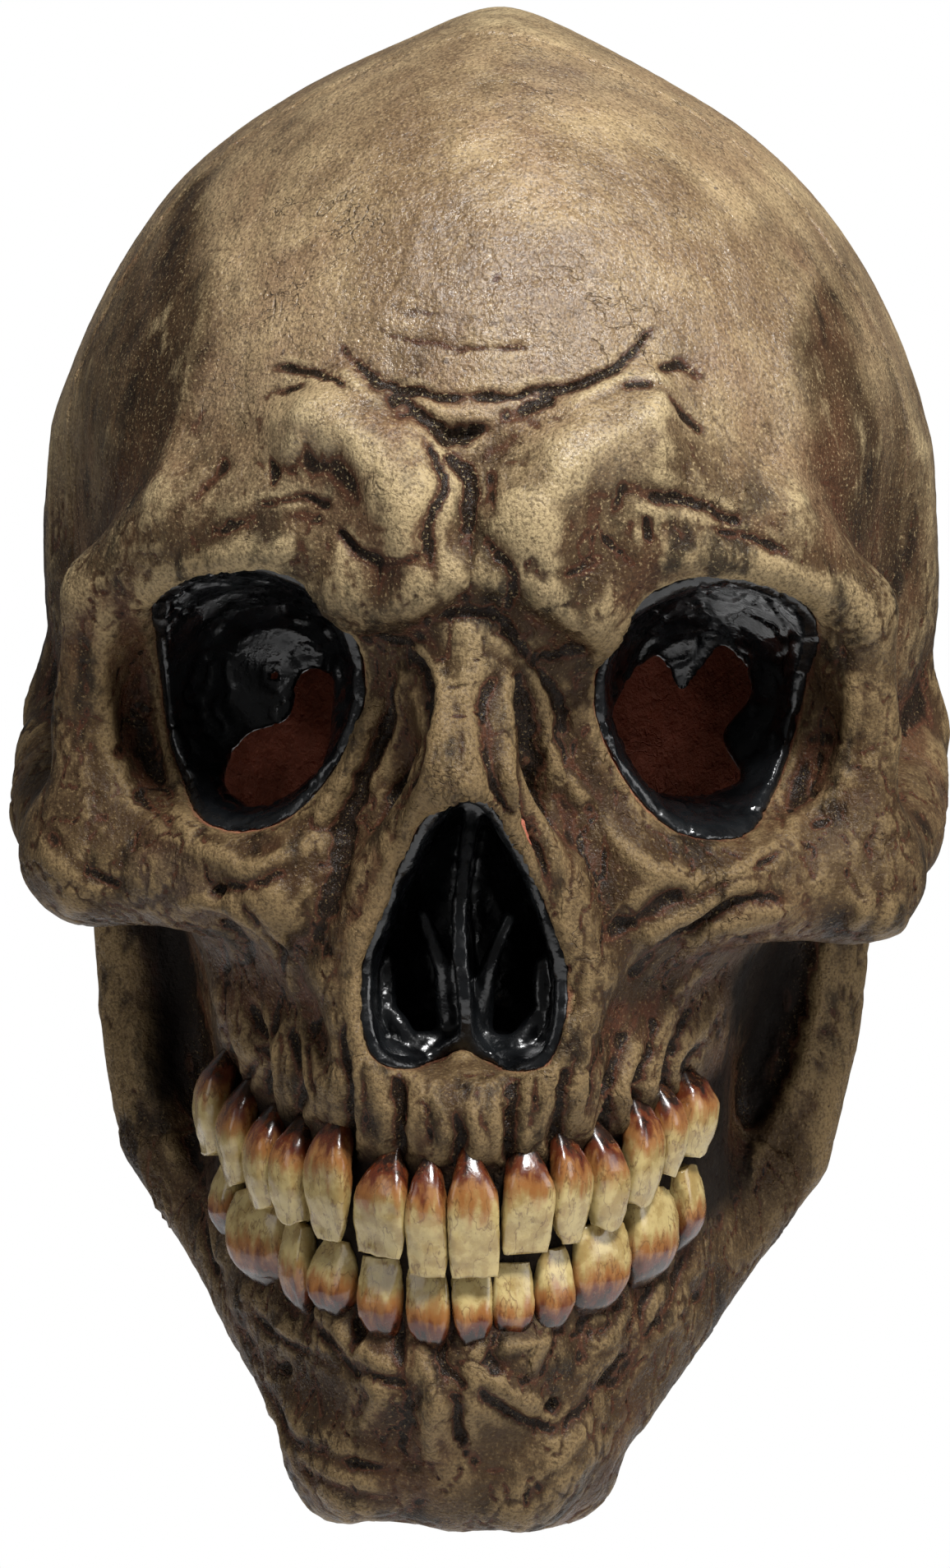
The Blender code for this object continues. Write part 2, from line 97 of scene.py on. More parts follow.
CRANIUM = ((0, 6, -69), (98.7, 121, 104))
MASSES = (
    ((0, 18, -106), (96.5, 106, 74), 22),       # temples
    ((0, 28, -148), (76, 87, 94), 24),          # nape
    ((0, -48, -142), (70, 60, 52), 20),         # middle of the face
    ((0, -60, -168), (47, 55, 34), 16),         # maxilla
    ((0, 4, -205), (64, 60, 88), 20),           # neck
    ((0, -76, -262), (30, 31, 25), 16),         # chin
)
HOLLOWS = (
    ((104, -60, -84), (17, 34, 46), 14),        # temporal hollow behind the brow
    ((72, -62, -196), (13, 44, 34), 8),         # hollow cheek in front of the jaw branch
)
RIDGES = (
    (((6, -106, -76, 13), (34, -101, -74, 13), (60, -90, -77, 11), (79, -74, -92, 8)), 14),
    (((80, -74, -94, 7.5), (84, -70, -120, 7), (80, -72, -146, 9)), 8),
    (((80, -68, -150, 13), (62, -84, -151, 11), (36, -98, -150, 9)), 14),
    (((84, -64, -149, 12), (90, -42, -143, 12), (93, -16, -133, 11), (92, 4, -124, 10)), 10),
    (((0, -100, -92, 13), (0, -111, -112, 10), (0, -122, -126, 8)), 12),
    (((5, -119, -128, 6), (17, -112, -146, 6), (24, -107, -168, 7), (18, -112, -186, 7)), 8),
    (((80, -4, -150, 9), (76, -8, -190, 10), (69, -18, -218, 11), (55, -34, -234, 11),
      (42, -55, -247, 12), (30, -76, -261, 13), (14, -91, -270, 16), (0, -94, -271, 17)), 10),
    (((94, -6, -112, 5), (96, -2, -124, 7), (91, 2, -134, 8)), 6),      # ear end of the arch
    (((76, -60, -96, 10), (78, -58, -120, 10), (76, -60, -144, 10)), 8),    # outer orbit wall
)

CHIN_LOBES = (      # the chin is broader on the wearer's right
    (((-10, -88, -272, 12), (-24, -82, -277, 12)), 6),
    (((4, -88, -272, 12), (22, -82, -277, 12)), 6),
)

# The solid block under the tooth rows, then its two rounded gum ridges.
BLOCK_LEVEL, BLOCK_HALF_HEIGHT, BLOCK_HALF_WIDTH, BLOCK_BACK_Y = -222, 30, 58, -30
GUMS = ((11, -196, 9, 56), (15, -255, 9, 50))       # depth, level, radius, half width

TOOTH_NAMES = ("central_incisor", "lateral_incisor", "canine", "first_premolar",
               "second_premolar", "first_molar", "second_molar")
# width, crown length and how far the edge stops short of the line where the rows meet
TEETH = {
    ("upper", "left"): ((11, 23, 0), (11, 19, 3), (11, 20, 1), (9, 17, 0), (11, 18, 0),
                        (8, 15, 1), (11, 14, 0)),
    ("upper", "right"): ((9, 21, 0), (14, 18, 2), (14, 23, 1), (10, 17, 1), (13, 17, 0),
                         (12, 18, 0), (12, 18, 2)),
    ("lower", "left"): ((9, 13, 0), (9, 14, 0), (10, 15, 0), (15, 16, 0), (17, 17, 1), (9, 14, 3)),
    ("lower", "right"): ((10, 14, 0), (11, 14, 0), (13, 13, 0), (12, 16, 0), (19, 16, 0),
                         (9, 11, 0)),
}

ORBIT = ((23, -114), (27, -94), (44, -84), (65, -88), (76, -103), (74, -126), (58, -140), (37, -136))
NOSTRIL = ((0, -129), (8, -135), (16, -152), (21, -168), (18, -183), (7, -186), (0, -183),
           (-7, -186), (-18, -183), (-21, -168), (-16, -152), (-8, -135))
VISION_LEFT = ((29, -116), (38, -104), (44, -112), (52, -102), (59, -111), (53, -121),
               (57, -130), (44, -133), (33, -128))
VISION_RIGHT = ((-31, -112), (-38, -110), (-41, -120), (-50, -124), (-53, -134), (-42, -137),
                (-33, -130))
# Outlines of the cheek pits that the skin paints black: black paint and painted shade of a deeper
# recess.
CHEEK_PIT_LEFT = ((55, -172), (63, -168), (71, -172), (71, -184), (67, -200), (64, -213), (58, -196))
CHEEK_PIT_RIGHT = ((-78, -166), (-67, -165), (-63, -174), (-63, -192), (-65, -208), (-72, -208),
                   (-75, -182))
TEMPLE_BANDS = (((-64, -14), (-70, -46), (-78, -84)), ((73, -28), (78, -56), (82, -86)))
ORBIT_STATIONS = ((-150, 1.10, 0), (-100, 1.0, 0), (-84, 0.93, -1.5), (-72, 0.82, -4.0),
                  (-64, 0.66, -5.5), (-59, 0.46, -6.5), (-56, 0.10, -6.5))
NOSE_STATIONS = ((-150, 1.12, 0), (-112, 1.0, 0), (-100, 0.96, 0), (-90, 0.84, 0),
                 (-85, 0.6, 0), (-83, 0.10, 0))

# Rolled bone inside the nose, as rods on one side: x, y, z and radius.
NOSE_SCROLLS = (
    ((3, -100, -184, 2.6), (5, -104, -166, 2.0), (9, -103, -156, 1.6)),
    ((4, -102, -183, 2.4), (11, -106, -182, 2.2), (16, -104, -176, 2.0), (16, -100, -166, 1.6)),
)

# ---- modelling on the front of the face ----
# Each stroke: half width, height or depth, then (x, z) points seen from the front.
LUMPS = (
    (8, 5.0, ((-32, -56), (-22, -62), (-13, -72))),        # inner brow, right then left
    (8, 5.0, ((34, -56), (21, -62), (12, -72))),
    (6, 2.0, ((-26, -50), (-15, -56), (-9, -64))),
    (6, 2.0, ((34, -48), (22, -53), (15, -59))),
    (8, 5.0, ((-24, -87), (-18, -89), (-12, -87))),        # lower pair beside the nose root
    (8, 5.0, ((14, -85), (19, -89), (24, -91))),
    (5, 2.6, ((-3, -83), (2, -84))),
    (7, 3.0, ((0, -98), (0, -110), (-1, -124))),           # nose bone
    (5, 2.4, ((84, -154), (88, -157))),                    # cheek knobs
    (5, 2.0, ((-86, -150), (-83, -156))),
    (9, 2.6, ((-32, -270), (-24, -280))),                  # chin lobes
    (9, 2.6, ((22, -268), (14, -280))),
    (6, 2.2, ((-44, -152), (-38, -156))),
    (5, 2.0, ((10, -244), (15, -246))),
)
RAISED = (
    (1.8, 1.0, ((-28, -42), (-18, -50), (0, -52), (16, -50), (32, -42))),
    (3.5, 1.2, ((-14, -50), (-6, -53), (4, -53), (10, -50))),
    (4.4, 2.2, ((-71, -92), (-58, -86), (-47, -81), (-36, -80))),          # brow edges
    (4.4, 2.2, ((38, -80), (50, -80), (64, -84), (78, -90), (83, -98))),
    (2.6, 1.6, ((-77, -96), (-80, -110), (-76, -128), (-64, -141), (-46, -146), (-30, -140))),
    (2.6, 1.6, ((79, -104), (80, -120), (73, -136), (58, -146), (42, -146), (26, -136))),
    (1.8, 1.7, ((-11, -99), (-5, -106), (-4, -114), (-6, -124), (-13, -137))),
    (1.8, 1.6, ((-15, -103), (-13, -110), (-18, -124), (-23, -136))),
    (2.2, 1.8, ((-19, -110), (-23, -124), (-32, -137))),
    (1.6, 1.5, ((6, -105), (7, -114), (9, -126), (12, -134))),
    (1.8, 1.6, ((12, -103), (15, -114), (19, -126), (24, -132))),
    (2.3, 1.5, ((-11, -133), (-4, -129), (5, -131), (13, -142), (19, -156), (20, -178))),
    (2.0, 1.4, ((-12, -135), (-18, -150), (-23, -165), (-21, -182))),
    (2.2, 1.6, ((-61, -156), (-52, -154), (-43, -157), (-38, -164), (-37, -174))),
    (2.2, 1.5, ((37, -160), (48, -153), (60, -149))),
    (2.2, 1.5, ((46, -163), (54, -158), (66, -155))),
    (2.2, 1.7, ((55, -165), (47, -170), (42, -178), (40, -184))),
    (2.4, 1.8, ((-30, -238), (-22, -246), (-12, -249))),                   # below the teeth
    (2.4, 1.6, ((8, -244), (15, -243), (22, -235))),
    (2.4, 1.7, ((-6, -246), (-5, -256), (-5, -270))),
    (2.0, 1.5, ((-19, -251), (-16, -256), (-19, -264))),
    (2.6, 1.8, ((3, -250), (10, -254), (17, -257))),
    (2.4, 1.4, ((-55, -222), (-47, -230), (-40, -235))),
    (2.4, 1.4, ((78, -168), (75, -190), (68, -208), (60, -222))),          # jaw branches
    (2.4, 1.6, ((-75, -190), (-72, -206), (-65, -222))),
    (4.5, 1.3, ((68, -22), (66, -45), (68, -70))),                         # temple lines
    (4.5, 1.3, ((-56, -20), (-60, -44), (-66, -72))),
)
CREASES = (
    (1.4, 1.5, ((-28, -38), (-19, -46), (-6, -48), (6, -48), (15, -46), (27, -42), (35, -35))),
    (2.2, 3.4, ((-18, -48), (-10, -54), (-4, -56), (3, -54), (16, -48))),
    (1.3, 1.8, ((-11, -57), (-6, -65), (-8, -76), (-6, -91))),
    (1.3, 1.8, ((4, -62), (5, -76), (8, -82), (6, -91))),
    (3.2, 1.6, ((-6, -60), (-1, -66), (0, -75))),
    (1.4, 3.0, ((-27, -76), (-22, -80), (-16, -80), (-9, -79))),
    (1.4, 1.9, ((10, -79), (17, -81), (27, -80))),
    (2.3, 1.8, ((-24, -81), (-21, -83))),
    (1.8, 3.0, ((-31, -91), (-26, -96), (-18, -98), (-12, -97), (-7, -91))),
    (1.8, 3.0, ((-6, -91), (4, -92), (10, -98), (16, -101), (23, -98))),
    (1.8, 3.6, ((-12, -101), (-8, -106), (-7, -114), (-11, -124), (-16, -132))),
    (2.6, 4.0, ((-15, -112), (-20, -125), (-27, -142), (-28, -155), (-30, -166))),
    (1.7, 3.2, ((3, -106), (3, -116), (6, -125), (9, -132))),
    (2.3, 3.8, ((10, -104), (12, -120), (15, -140), (19, -155), (22, -168), (23, -174))),
    (1.5, 2.0, ((11, -99), (16, -107), (20, -117))),
    (1.3, 1.2, ((-1, -112), (0, -120), (1, -125))),
    (3.2, 2.6, ((-42, -64), (-34, -63), (-27, -64), (-21, -70))),          # folds over the brow
    (1.2, 1.6, ((-44, -70), (-36, -69), (-29, -71))),
    (1.8, 2.6, ((28, -70), (30, -66), (36, -66), (48, -70), (56, -72))),
    (1.1, 1.4, ((35, -70), (36, -77))),
    (1.3, 1.6, ((27, -76), (32, -82))),
    (1.2, 1.3, ((-44, -44), (-34, -43), (-26, -47))),
    (1.2, 1.5, ((-44, -51), (-36, -46))),
    (1.5, 1.7, ((29, -46), (36, -48), (47, -54))),
    (1.7, 1.2, ((36, -43), (42, -41), (47, -43))),
    (2.1, 1.4, ((-58, -79), (-48, -74), (-40, -72), (-31, -73))),
    (1.4, 1.4, ((49, -74), (58, -76), (67, -81))),
    (1.6, 1.5, ((-70, -79), (-60, -72), (-52, -61))),
    (1.7, 1.4, ((-80, -111), (-76, -125), (-68, -138), (-48, -150), (-38, -147))),
    (1.5, 1.8, ((-89, -142), (-83, -148), (-74, -154))),                   # cheek bones
    (1.9, 3.8, ((-53, -151), (-50, -152))),
    (1.5, 1.4, ((-63, -145), (-55, -143), (-46, -145))),
    (2.2, 2.6, ((-52, -160), (-47, -165), (-46, -174))),
    (1.5, 2.1, ((59, -146), (67, -142), (76, -136))),
    (2.3, 2.6, ((28, -159), (37, -154), (46, -147), (52, -147))),
    (1.6, 2.4, ((34, -168), (43, -161), (53, -154), (66, -152))),
    (1.4, 1.8, ((46, -168), (58, -161), (68, -158))),
    (1.3, 1.0, ((78, -100), (82, -112), (80, -127))),
    (1.6, 1.2, ((83, -140), (86, -150), (83, -159))),
    (1.4, 2.0, ((-61, -161), (-52, -168), (-53, -186), (-52, -194))),      # cheek to maxilla
    (1.4, 2.2, ((-47, -152), (-38, -164), (-41, -180), (-46, -197))),
    (2.4, 3.0, ((-13, -250), (-10, -256), (-13, -270))),                   # chin
    (1.6, 2.4, ((0, -252), (1, -262), (4, -271))),
    (1.7, 2.4, ((4, -251), (12, -259), (22, -262), (34, -252), (38, -245))),
    (1.6, 3.4, ((20, -259), (22, -256))),
    (2.3, 3.2, ((-38, -254), (-36, -256))),
    (1.8, 2.4, ((-43, -260), (-38, -265), (-31, -270), (-13, -273))),
    (1.4, 1.5, ((-33, -272), (-18, -279), (-12, -279))),
    (1.4, 1.6, ((28, -266), (15, -275), (13, -276))),
    (1.3, 1.2, ((3, -272), (16, -272))),
    (1.9, 2.0, ((-10, -284), (-7, -278))),
    (1.4, 1.8, ((24, -243), (31, -242), (34, -236))),
    (1.6, 1.8, ((49, -225), (44, -240), (36, -252), (28, -260))),
    (1.5, 1.6, ((-59, -230), (-52, -243), (-44, -255))),
    (1.5, 1.5, ((-30, -242), (-26, -248), (-20, -252))),
    (1.5, 1.6, ((-4, -247), (1, -250), (5, -254))),
    (1.3, 1.5, ((-48, -241), (-40, -248), (-24, -252))),
    (1.4, 1.4, ((35, -232), (38, -240), (33, -247))),
    (1.5, 1.8, ((75, -172), (72, -186), (68, -200), (60, -214))),          # jaw branches
    (1.7, 1.8, ((-68, -188), (-66, -205), (-58, -226))),
    (1.0, 0.8, ((2, -24), (4, -22))),
    (0.9, 0.5, ((-22, -33), (-10, -37), (4, -38), (18, -35))),
    (0.9, 0.5, ((-18, -30), (-6, -32), (6, -32), (17, -30))),
)


# ---- signed distances ----
def smooth_min(a, b, k):
    h = np.maximum(k - np.abs(a - b), 0) / k
    return np.minimum(a, b) - h * h * k / 4


def smooth_max(a, b, k):
    return -smooth_min(-a, -b, k)


def ellipsoid(x, y, z, centre, radii):
    px, py, pz = x - centre[0], y - centre[1], z - centre[2]
    near = np.sqrt((px / radii[0])**2 + (py / radii[1])**2 + (pz / radii[2])**2)
    slope = np.sqrt((px / radii[0]**2)**2 + (py / radii[1]**2)**2 + (pz / radii[2]**2)**2)
    return near * (near - 1) / np.maximum(slope, 1e-6)


def ridge(x, y, z, points):
    """Distance to a rounded rod of changing radius."""
    best = None
    for start, end in zip(points, points[1:]):
        along = [end[i] - start[i] for i in range(3)]
        t = ((x - start[0]) * along[0] + (y - start[1]) * along[1] + (z - start[2]) * along[2])
        t = np.clip(t / sum(value * value for value in along), 0, 1)
        away = np.sqrt((x - start[0] - t * along[0])**2 + (y - start[1] - t * along[1])**2
                       + (z - start[2] - t * along[2])**2)
        away = away - (start[3] + t * (end[3] - start[3]))
        best = away if best is None else np.minimum(best, away)
    return best


def row_place(x, y, z):
    """Depth behind the bowed front of the tooth rows, and height along their smile."""
    side = np.minimum(np.abs(x), 66)
    depth = (y - UPPER_FRONT - ARCH * side**2) / np.sqrt(1 + (2 * ARCH * side)**2)
    return depth, z - SMILE * side**2


def tooth_block(x, y, z):
    depth, level = row_place(x, y, z)
    block = smooth_max(BLOCK_DEPTH - depth, np.abs(level - BLOCK_LEVEL) - BLOCK_HALF_HEIGHT, 12)
    block = smooth_max(block, y - BLOCK_BACK_Y, 10)
    block = smooth_max(block, x - BLOCK_HALF_WIDTH, 10)
    for gum_depth, gum_level, radius, half_width in GUMS:
        gum = np.sqrt((depth - gum_depth)**2 + (level - gum_level)**2) - radius
        block = smooth_min(block, smooth_max(gum, x - half_width, 6), 8)
    return block


def head(x, y, z):
    sideways, x = x, np.abs(x)
    peak = np.clip((z + 60) / 95, 0, 1)
    wide = x * (1 + 0.15 * peak + 1.2 * peak**8)
    long = (y - CRANIUM[0][1]) * (1 + 0.05 * peak + 0.3 * peak**8)
    d = ellipsoid(wide, long, z, (0, 0, CRANIUM[0][2]), CRANIUM[1]) / (1 + 0.6 * peak**4)
    for centre, radii, blend in MASSES:
        d = smooth_min(d, ellipsoid(x, y, z, centre, radii), blend)
    d = smooth_min(d, tooth_block(x, y, z), 10)
    for centre, radii, blend in HOLLOWS:
        d = smooth_max(d, -ellipsoid(x, y, z, centre, radii), blend)
    for points, blend in RIDGES:
        d = smooth_min(d, ridge(x, y, z, points), blend)
    for points, blend in CHIN_LOBES:
        d = smooth_min(d, ridge(sideways, y, z, points), blend)
    return d


def above_rim(y, z):
    """Negative above the slanted neck opening."""
    lift = RIM_POINT[1] + (y - RIM_POINT[0]) * RIM_SLOPE
    return (lift - z) / math.hypot(1, RIM_SLOPE)


# ---- outlines ----
def spline_run(a, b, c, d, pieces):
    """Points of the smooth curve from b up to c, with a before and d after them."""
    for step in range(pieces):
        t = step / pieces
        yield 0.5 * (2 * b + (c - a) * t + (2 * a - 5 * b + 4 * c - d) * t * t
                     + (3 * b - a - 3 * c + d) * t**3)


def rounded(corners, pieces=6):
    """Smooth closed curve through the corners."""
    points = np.array(corners, float)
    line = []
    for i in range(len(points)):
        line += spline_run(*(points[(i + k) % len(points)] for k in (-1, 0, 1, 2)), pieces)
    return np.array(line)


def outline_distance(line, x, z):
    """Signed distance to a closed outline, negative inside, on flat arrays."""
    best = np.full(x.shape, 1e9)
    inside = np.zeros(x.shape, bool)
    for a, b in zip(line, np.roll(line, -1, axis=0)):
        run = b - a
        t = np.clip(((x - a[0]) * run[0] + (z - a[1]) * run[1]) / (run @ run), 0, 1)
        best = np.minimum(best, (x - a[0] - t * run[0])**2 + (z - a[1] - t * run[1])**2)
        crosses = ((a[1] > z) != (b[1] > z)) & (x < a[0] + (z - a[1]) * run[0] / (run[1] or 1e-9))
        inside ^= crosses
    return np.where(inside, -np.sqrt(best), np.sqrt(best))


class Outline:
    """Distance to an outline, kept on a flat raster so that it can be read anywhere."""
    CELL = 0.5
    MARGIN = 26.0

    def __init__(self, corners):
        self.line = rounded(corners)
        self.low = self.line.min(axis=0) - self.MARGIN
        high = self.line.max(axis=0) + self.MARGIN
        xs, zs = (np.arange(self.low[i], high[i], self.CELL) for i in (0, 1))
        grid_x, grid_z = np.meshgrid(xs, zs, indexing="ij")
        self.raster = outline_distance(self.line, grid_x, grid_z)
        self.middle = self.line.mean(axis=0)

    def at(self, x, z):
        return sample(self.raster, (x - self.low[0]) / self.CELL, (z - self.low[1]) / self.CELL)

    def lofted(self, x, y, z, stations, turn=1):
        """Distance to scaled copies of the outline, one after another along y."""
        ys = [station[0] for station in stations]
        scale = np.interp(y, ys, [station[1] for station in stations]).astype(np.float32)
        shift = np.interp(y, ys, [station[2] for station in stations]).astype(np.float32)
        across = (x - shift * turn - self.middle[0]) / scale + self.middle[0]
        height = (z - self.middle[1]) / scale + self.middle[1]
        return self.at(*np.broadcast_arrays(across, height)) * np.minimum(scale, 1.0)


def sample(raster, u, v):
    """Bilinear reading of a raster at fractional places, held at its edges."""
    u = np.clip(u, 0, raster.shape[0] - 1.001)
    v = np.clip(v, 0, raster.shape[1] - 1.001)
    i, j = u.astype(np.int32), v.astype(np.int32)
    fu, fv = u - i, v - j
    return ((raster[i, j] * (1 - fu) + raster[i + 1, j] * fu) * (1 - fv)
            + (raster[i, j + 1] * (1 - fu) + raster[i + 1, j + 1] * fu) * fv)


# ---- noise ----
LATTICE = np.random.default_rng(7).random((48, 48, 48)).astype(np.float32)


def soft_noise(points, size):
    """Smooth value noise from -1 to 1 at points, with lumps about `size` across."""
    place = points / np.asarray(size) + 211.3
    cell = np.floor(place).astype(np.int64)
    part = place - cell
    part = part * part * (3 - 2 * part)
    total = 0.0
    for corner in np.ndindex(2, 2, 2):
        index = tuple((cell[:, i] + corner[i]) % 48 for i in range(3))
        weight = 1.0
        for i in range(3):
            weight = weight * (part[:, i] if corner[i] else 1 - part[:, i])
        total = total + LATTICE[index] * weight
    return total * 2 - 1


def rough(points, size, octaves=3):
    """Several layers of soft noise."""
    total, height = 0.0, 1.0
    for octave in range(octaves):
        total = total + soft_noise(points + 31.7 * octave, np.asarray(size) / 2**octave) * height
        height *= 0.55
    return total


# ---- meshes ----
def grid(low, high, step):
    """Open arrays of x, y and z that broadcast to a block of points."""
    x, y, z = (np.arange(low[i], high[i] + step, step, dtype=np.float32) for i in range(3))
    return x[:, None, None], y[None, :, None], z[None, None, :]


def skin_of(distance, low, step):
    """Points and quads of the surface where a block of distances is zero."""
    band = 3.0 * step
    block = vdb.FloatGrid(band)
    block.copyFromArray(np.clip(distance, -band, band).astype(np.float32))
    block.gridClass = vdb.GridClass.LEVEL_SET
    points, quads = block.convertToQuads(0.0)
    return points * step + np.array(low), quads[:, ::-1]


def normals_of(points, quads):
    one = points[quads[:, 2]] - points[quads[:, 0]]
    two = points[quads[:, 3]] - points[quads[:, 1]]
    flat = np.cross(one, two)
    total = np.zeros_like(points)
    for corner in range(4):
        for axis in range(3):
            total[:, axis] += np.bincount(quads[:, corner], flat[:, axis], len(points))
    return total / np.maximum(np.linalg.norm(total, axis=1), 1e-9)[:, None]


def smoothed(values, quads, times):
    """Values evened out over neighbouring points."""
    ends = np.concatenate([quads[:, [0, 1]], quads[:, [1, 2]], quads[:, [2, 3]], quads[:, [3, 0]]])
    count = np.bincount(ends[:, 0], minlength=len(values)).astype(float)
    count += np.bincount(ends[:, 1], minlength=len(values))
    for _ in range(times):
        total = np.empty_like(values)
        for axis in range(values.shape[1]):
            total[:, axis] = np.bincount(ends[:, 0], values[ends[:, 1], axis], len(values))
            total[:, axis] += np.bincount(ends[:, 1], values[ends[:, 0], axis], len(values))
        values = 0.4 * values + 0.6 * total / np.maximum(count, 1)[:, None]
    return values


def hollowness(points, quads, normals, times):
    """How far each point lies below its smoothed surroundings."""
    return np.einsum("ij,ij->i", smoothed(points, quads, times) - points, normals)


def new_piece(name, points, faces, material, attributes=None):
    """Piece made from millimetre points, given its finish and its painted attributes."""
    mesh = bpy.data.meshes.new(name)
    mesh.from_pydata((np.asarray(points) * MM).tolist(), [], [list(face) for face in faces])
    mesh.validate()
    mesh.shade_smooth()
    for label, values in (attributes or {}).items():
        layer = mesh.attributes.new(label, "FLOAT", "POINT")
        layer.data.foreach_set("value", np.asarray(values, np.float32))
    mesh.materials.append(material)
    piece = bpy.data.objects.new(name, mesh)
    bpy.context.collection.objects.link(piece)
    return piece


# ---- sculpting on the front ----
RELIEF_LOW = (-112.0, -296.0)
RELIEF_HIGH = (112.0, 40.0)
RELIEF_CELL = 0.5
LUMP_GAIN = 1.5
RAISED_GAIN = 1.3
CREASE_WIDTH_GAIN, CREASE_DEPTH_GAIN = 0.85, 0.8


def curve_through(points, pieces=5):
    """Smooth open curve through a few points."""
    points = np.array(points, float)
    padded = np.vstack([2 * points[0] - points[1], points, 2 * points[-1] - points[-2]])
    line = []
    for i in range(1, len(padded) - 2):
        line += spline_run(*padded[i - 1:i + 3], pieces)
    line.append(points[-1])
    return np.array(line)


class Relief:
    """Raised and sunken strokes on a raster over the front of the face."""

    def __init__(self):
        xs, zs = (np.arange(RELIEF_LOW[i], RELIEF_HIGH[i], RELIEF_CELL) for i in (0, 1))
        self.x, self.z = np.meshgrid(xs, zs, indexing="ij")
        flat = np.stack([self.x.ravel(), 0 * self.x.ravel(), self.z.ravel()], axis=1)
        sway = [rough(flat + shift, 9.0).reshape(self.x.shape) for shift in (0.0, 500.0)]
        self.x = self.x + sway[0] * 1.2
        self.z = self.z + sway[1] * 1.2
        self.uneven = np.clip(0.70 + 0.9 * rough(flat + 900.0, 9.0).reshape(self.x.shape), 0.1, 1.3)
        self.lump, self.raised, self.crease, self.lip = (np.zeros_like(self.x) for _ in range(4))

    def window(self, line, reach):
        low = ((line.min(axis=0) - reach - 3 - RELIEF_LOW) / RELIEF_CELL).astype(int)
        high = ((line.max(axis=0) + reach + 3 - RELIEF_LOW) / RELIEF_CELL).astype(int)
        return (slice(max(low[0], 0), max(high[0], 1)), slice(max(low[1], 0), max(high[1], 1)))

    def profile(self, width, points, reach):
        """Distance to the stroke and how near its ends are, inside its window."""
        line = curve_through(points)
        part = self.window(line, reach)
        x, z = self.x[part], self.z[part]
        best, along = np.full(x.shape, 1e9), np.zeros(x.shape)
        for i, (a, b) in enumerate(zip(line, line[1:])):
            run = b - a
            t = np.clip(((x - a[0]) * run[0] + (z - a[1]) * run[1]) / max(run @ run, 1e-9), 0, 1)
            away = np.hypot(x - a[0] - t * run[0], z - a[1] - t * run[1])
            nearer = away < best
            best = np.where(nearer, away, best)
            along = np.where(nearer, (i + t) / (len(line) - 1), along)
        return part, best / width, np.clip(4 * along * (1 - along), 0, 1)**0.4 * 0.8 + 0.2

    def add_lump(self, width, height, points):
        part, away, _ = self.profile(width, points, width * 3)
        self.lump[part] += height * np.exp(-away**2)

    def add_raised(self, width, height, points):
        part, away, ends = self.profile(width, points, width * 3)
        self.raised[part] = np.maximum(self.raised[part], height * ends * np.exp(-away**2))

    def add_crease(self, width, depth, points):
        part, away, ends = self.profile(width, points, width * 4)
        ends = ends * self.uneven[part]
        self.crease[part] = np.maximum(self.crease[part], depth * ends * np.exp(-away**2))
        lip = 0.16 * depth * ends * np.exp(-(away - 2.2)**2 * 1.2)
        self.lip[part] = np.maximum(self.lip[part], lip)

    def height(self):
        return self.lump + self.raised + self.lip * (1 - np.clip(self.crease, 0, 1)) - self.crease

    def read(self, raster, points):
        return sample(raster, (points[:, 0] - RELIEF_LOW[0]) / RELIEF_CELL,
                      (points[:, 2] - RELIEF_LOW[1]) / RELIEF_CELL)


def row_x(length):
    """Sideways position of a point a given length along the bowed row."""
    low, high = 0.0, abs(length)
    for _ in range(30):
        x = (low + high) / 2
        t = 2 * ARCH * x
        reach = (t * math.hypot(1, t) + math.asinh(t)) / (4 * ARCH)
        low, high = (x, high) if reach < abs(length) else (low, x)
    return math.copysign(low, length)


def tooth_row(row, word):
    """Name, sideways place, width, edge height and root height of each tooth of one side."""
    side = 1 if word == "left" else -1
    start = side * MOUTH_MIDDLE + TOOTH_GAP / 2
    places = []
    for tooth, (width, length, short) in zip(TOOTH_NAMES, TEETH[row, word]):
        x = row_x(side * (start + width / 2))
        bite = BITE_Z + BITE_RISE[word] * x * x
        sign = 1 if row == "upper" else -1
        places.append((f"{row}_{word}_{tooth}", x, width, bite + sign * short,
                       bite + sign * (short + length)))
        start += width + TOOTH_GAP
    return places


def add_root_folds(relief):
    """Columns of bone over the roots of the upper teeth, with clefts between them."""
    draw = np.random.default_rng(3)
    for word in ("left", "right"):
        row = tooth_row("upper", word)
        for (_, x, width, _, root), (_, next_x, _, _, next_root) in zip(row, row[1:]):
            lean = 0.10 * x
            rise = draw.uniform(17, 26)
            sway = draw.uniform(-1.5, 1.5)
            relief.add_raised(width * 0.24, 1.1, ((x, root + 1), (x + sway, root + rise * 0.5),
                                                  (x + lean, root + rise)))
            gap_x, gap_z = (x + next_x) / 2, (root + next_root) / 2
            relief.add_crease(1.3, 2.9, ((gap_x, gap_z - 3), (gap_x - sway, gap_z + rise * 0.45),
                                         (gap_x + lean, gap_z + rise * draw.uniform(0.8, 1.25))))
            if abs(x) < 45:
                split = x + draw.uniform(-0.2, 0.2) * width
                relief.add_crease(0.8, 1.1, ((split, root + 8), (split + lean * 0.6, root + rise)))
    relief.add_crease(1.5, 2.4, ((MOUTH_MIDDLE, -208), (MOUTH_MIDDLE + 1, -198), (MOUTH_MIDDLE, -190)))
    for word in ("left", "right"):
        for _, x, width, _, root in tooth_row("lower", word):
            relief.add_crease(1.2, 1.6, ((x + width * 0.5, root + 2), (x + width * 0.45, root - 9)))
            relief.add_raised(width * 0.22, 1.2, ((x, root - 2), (x, root - 10)))


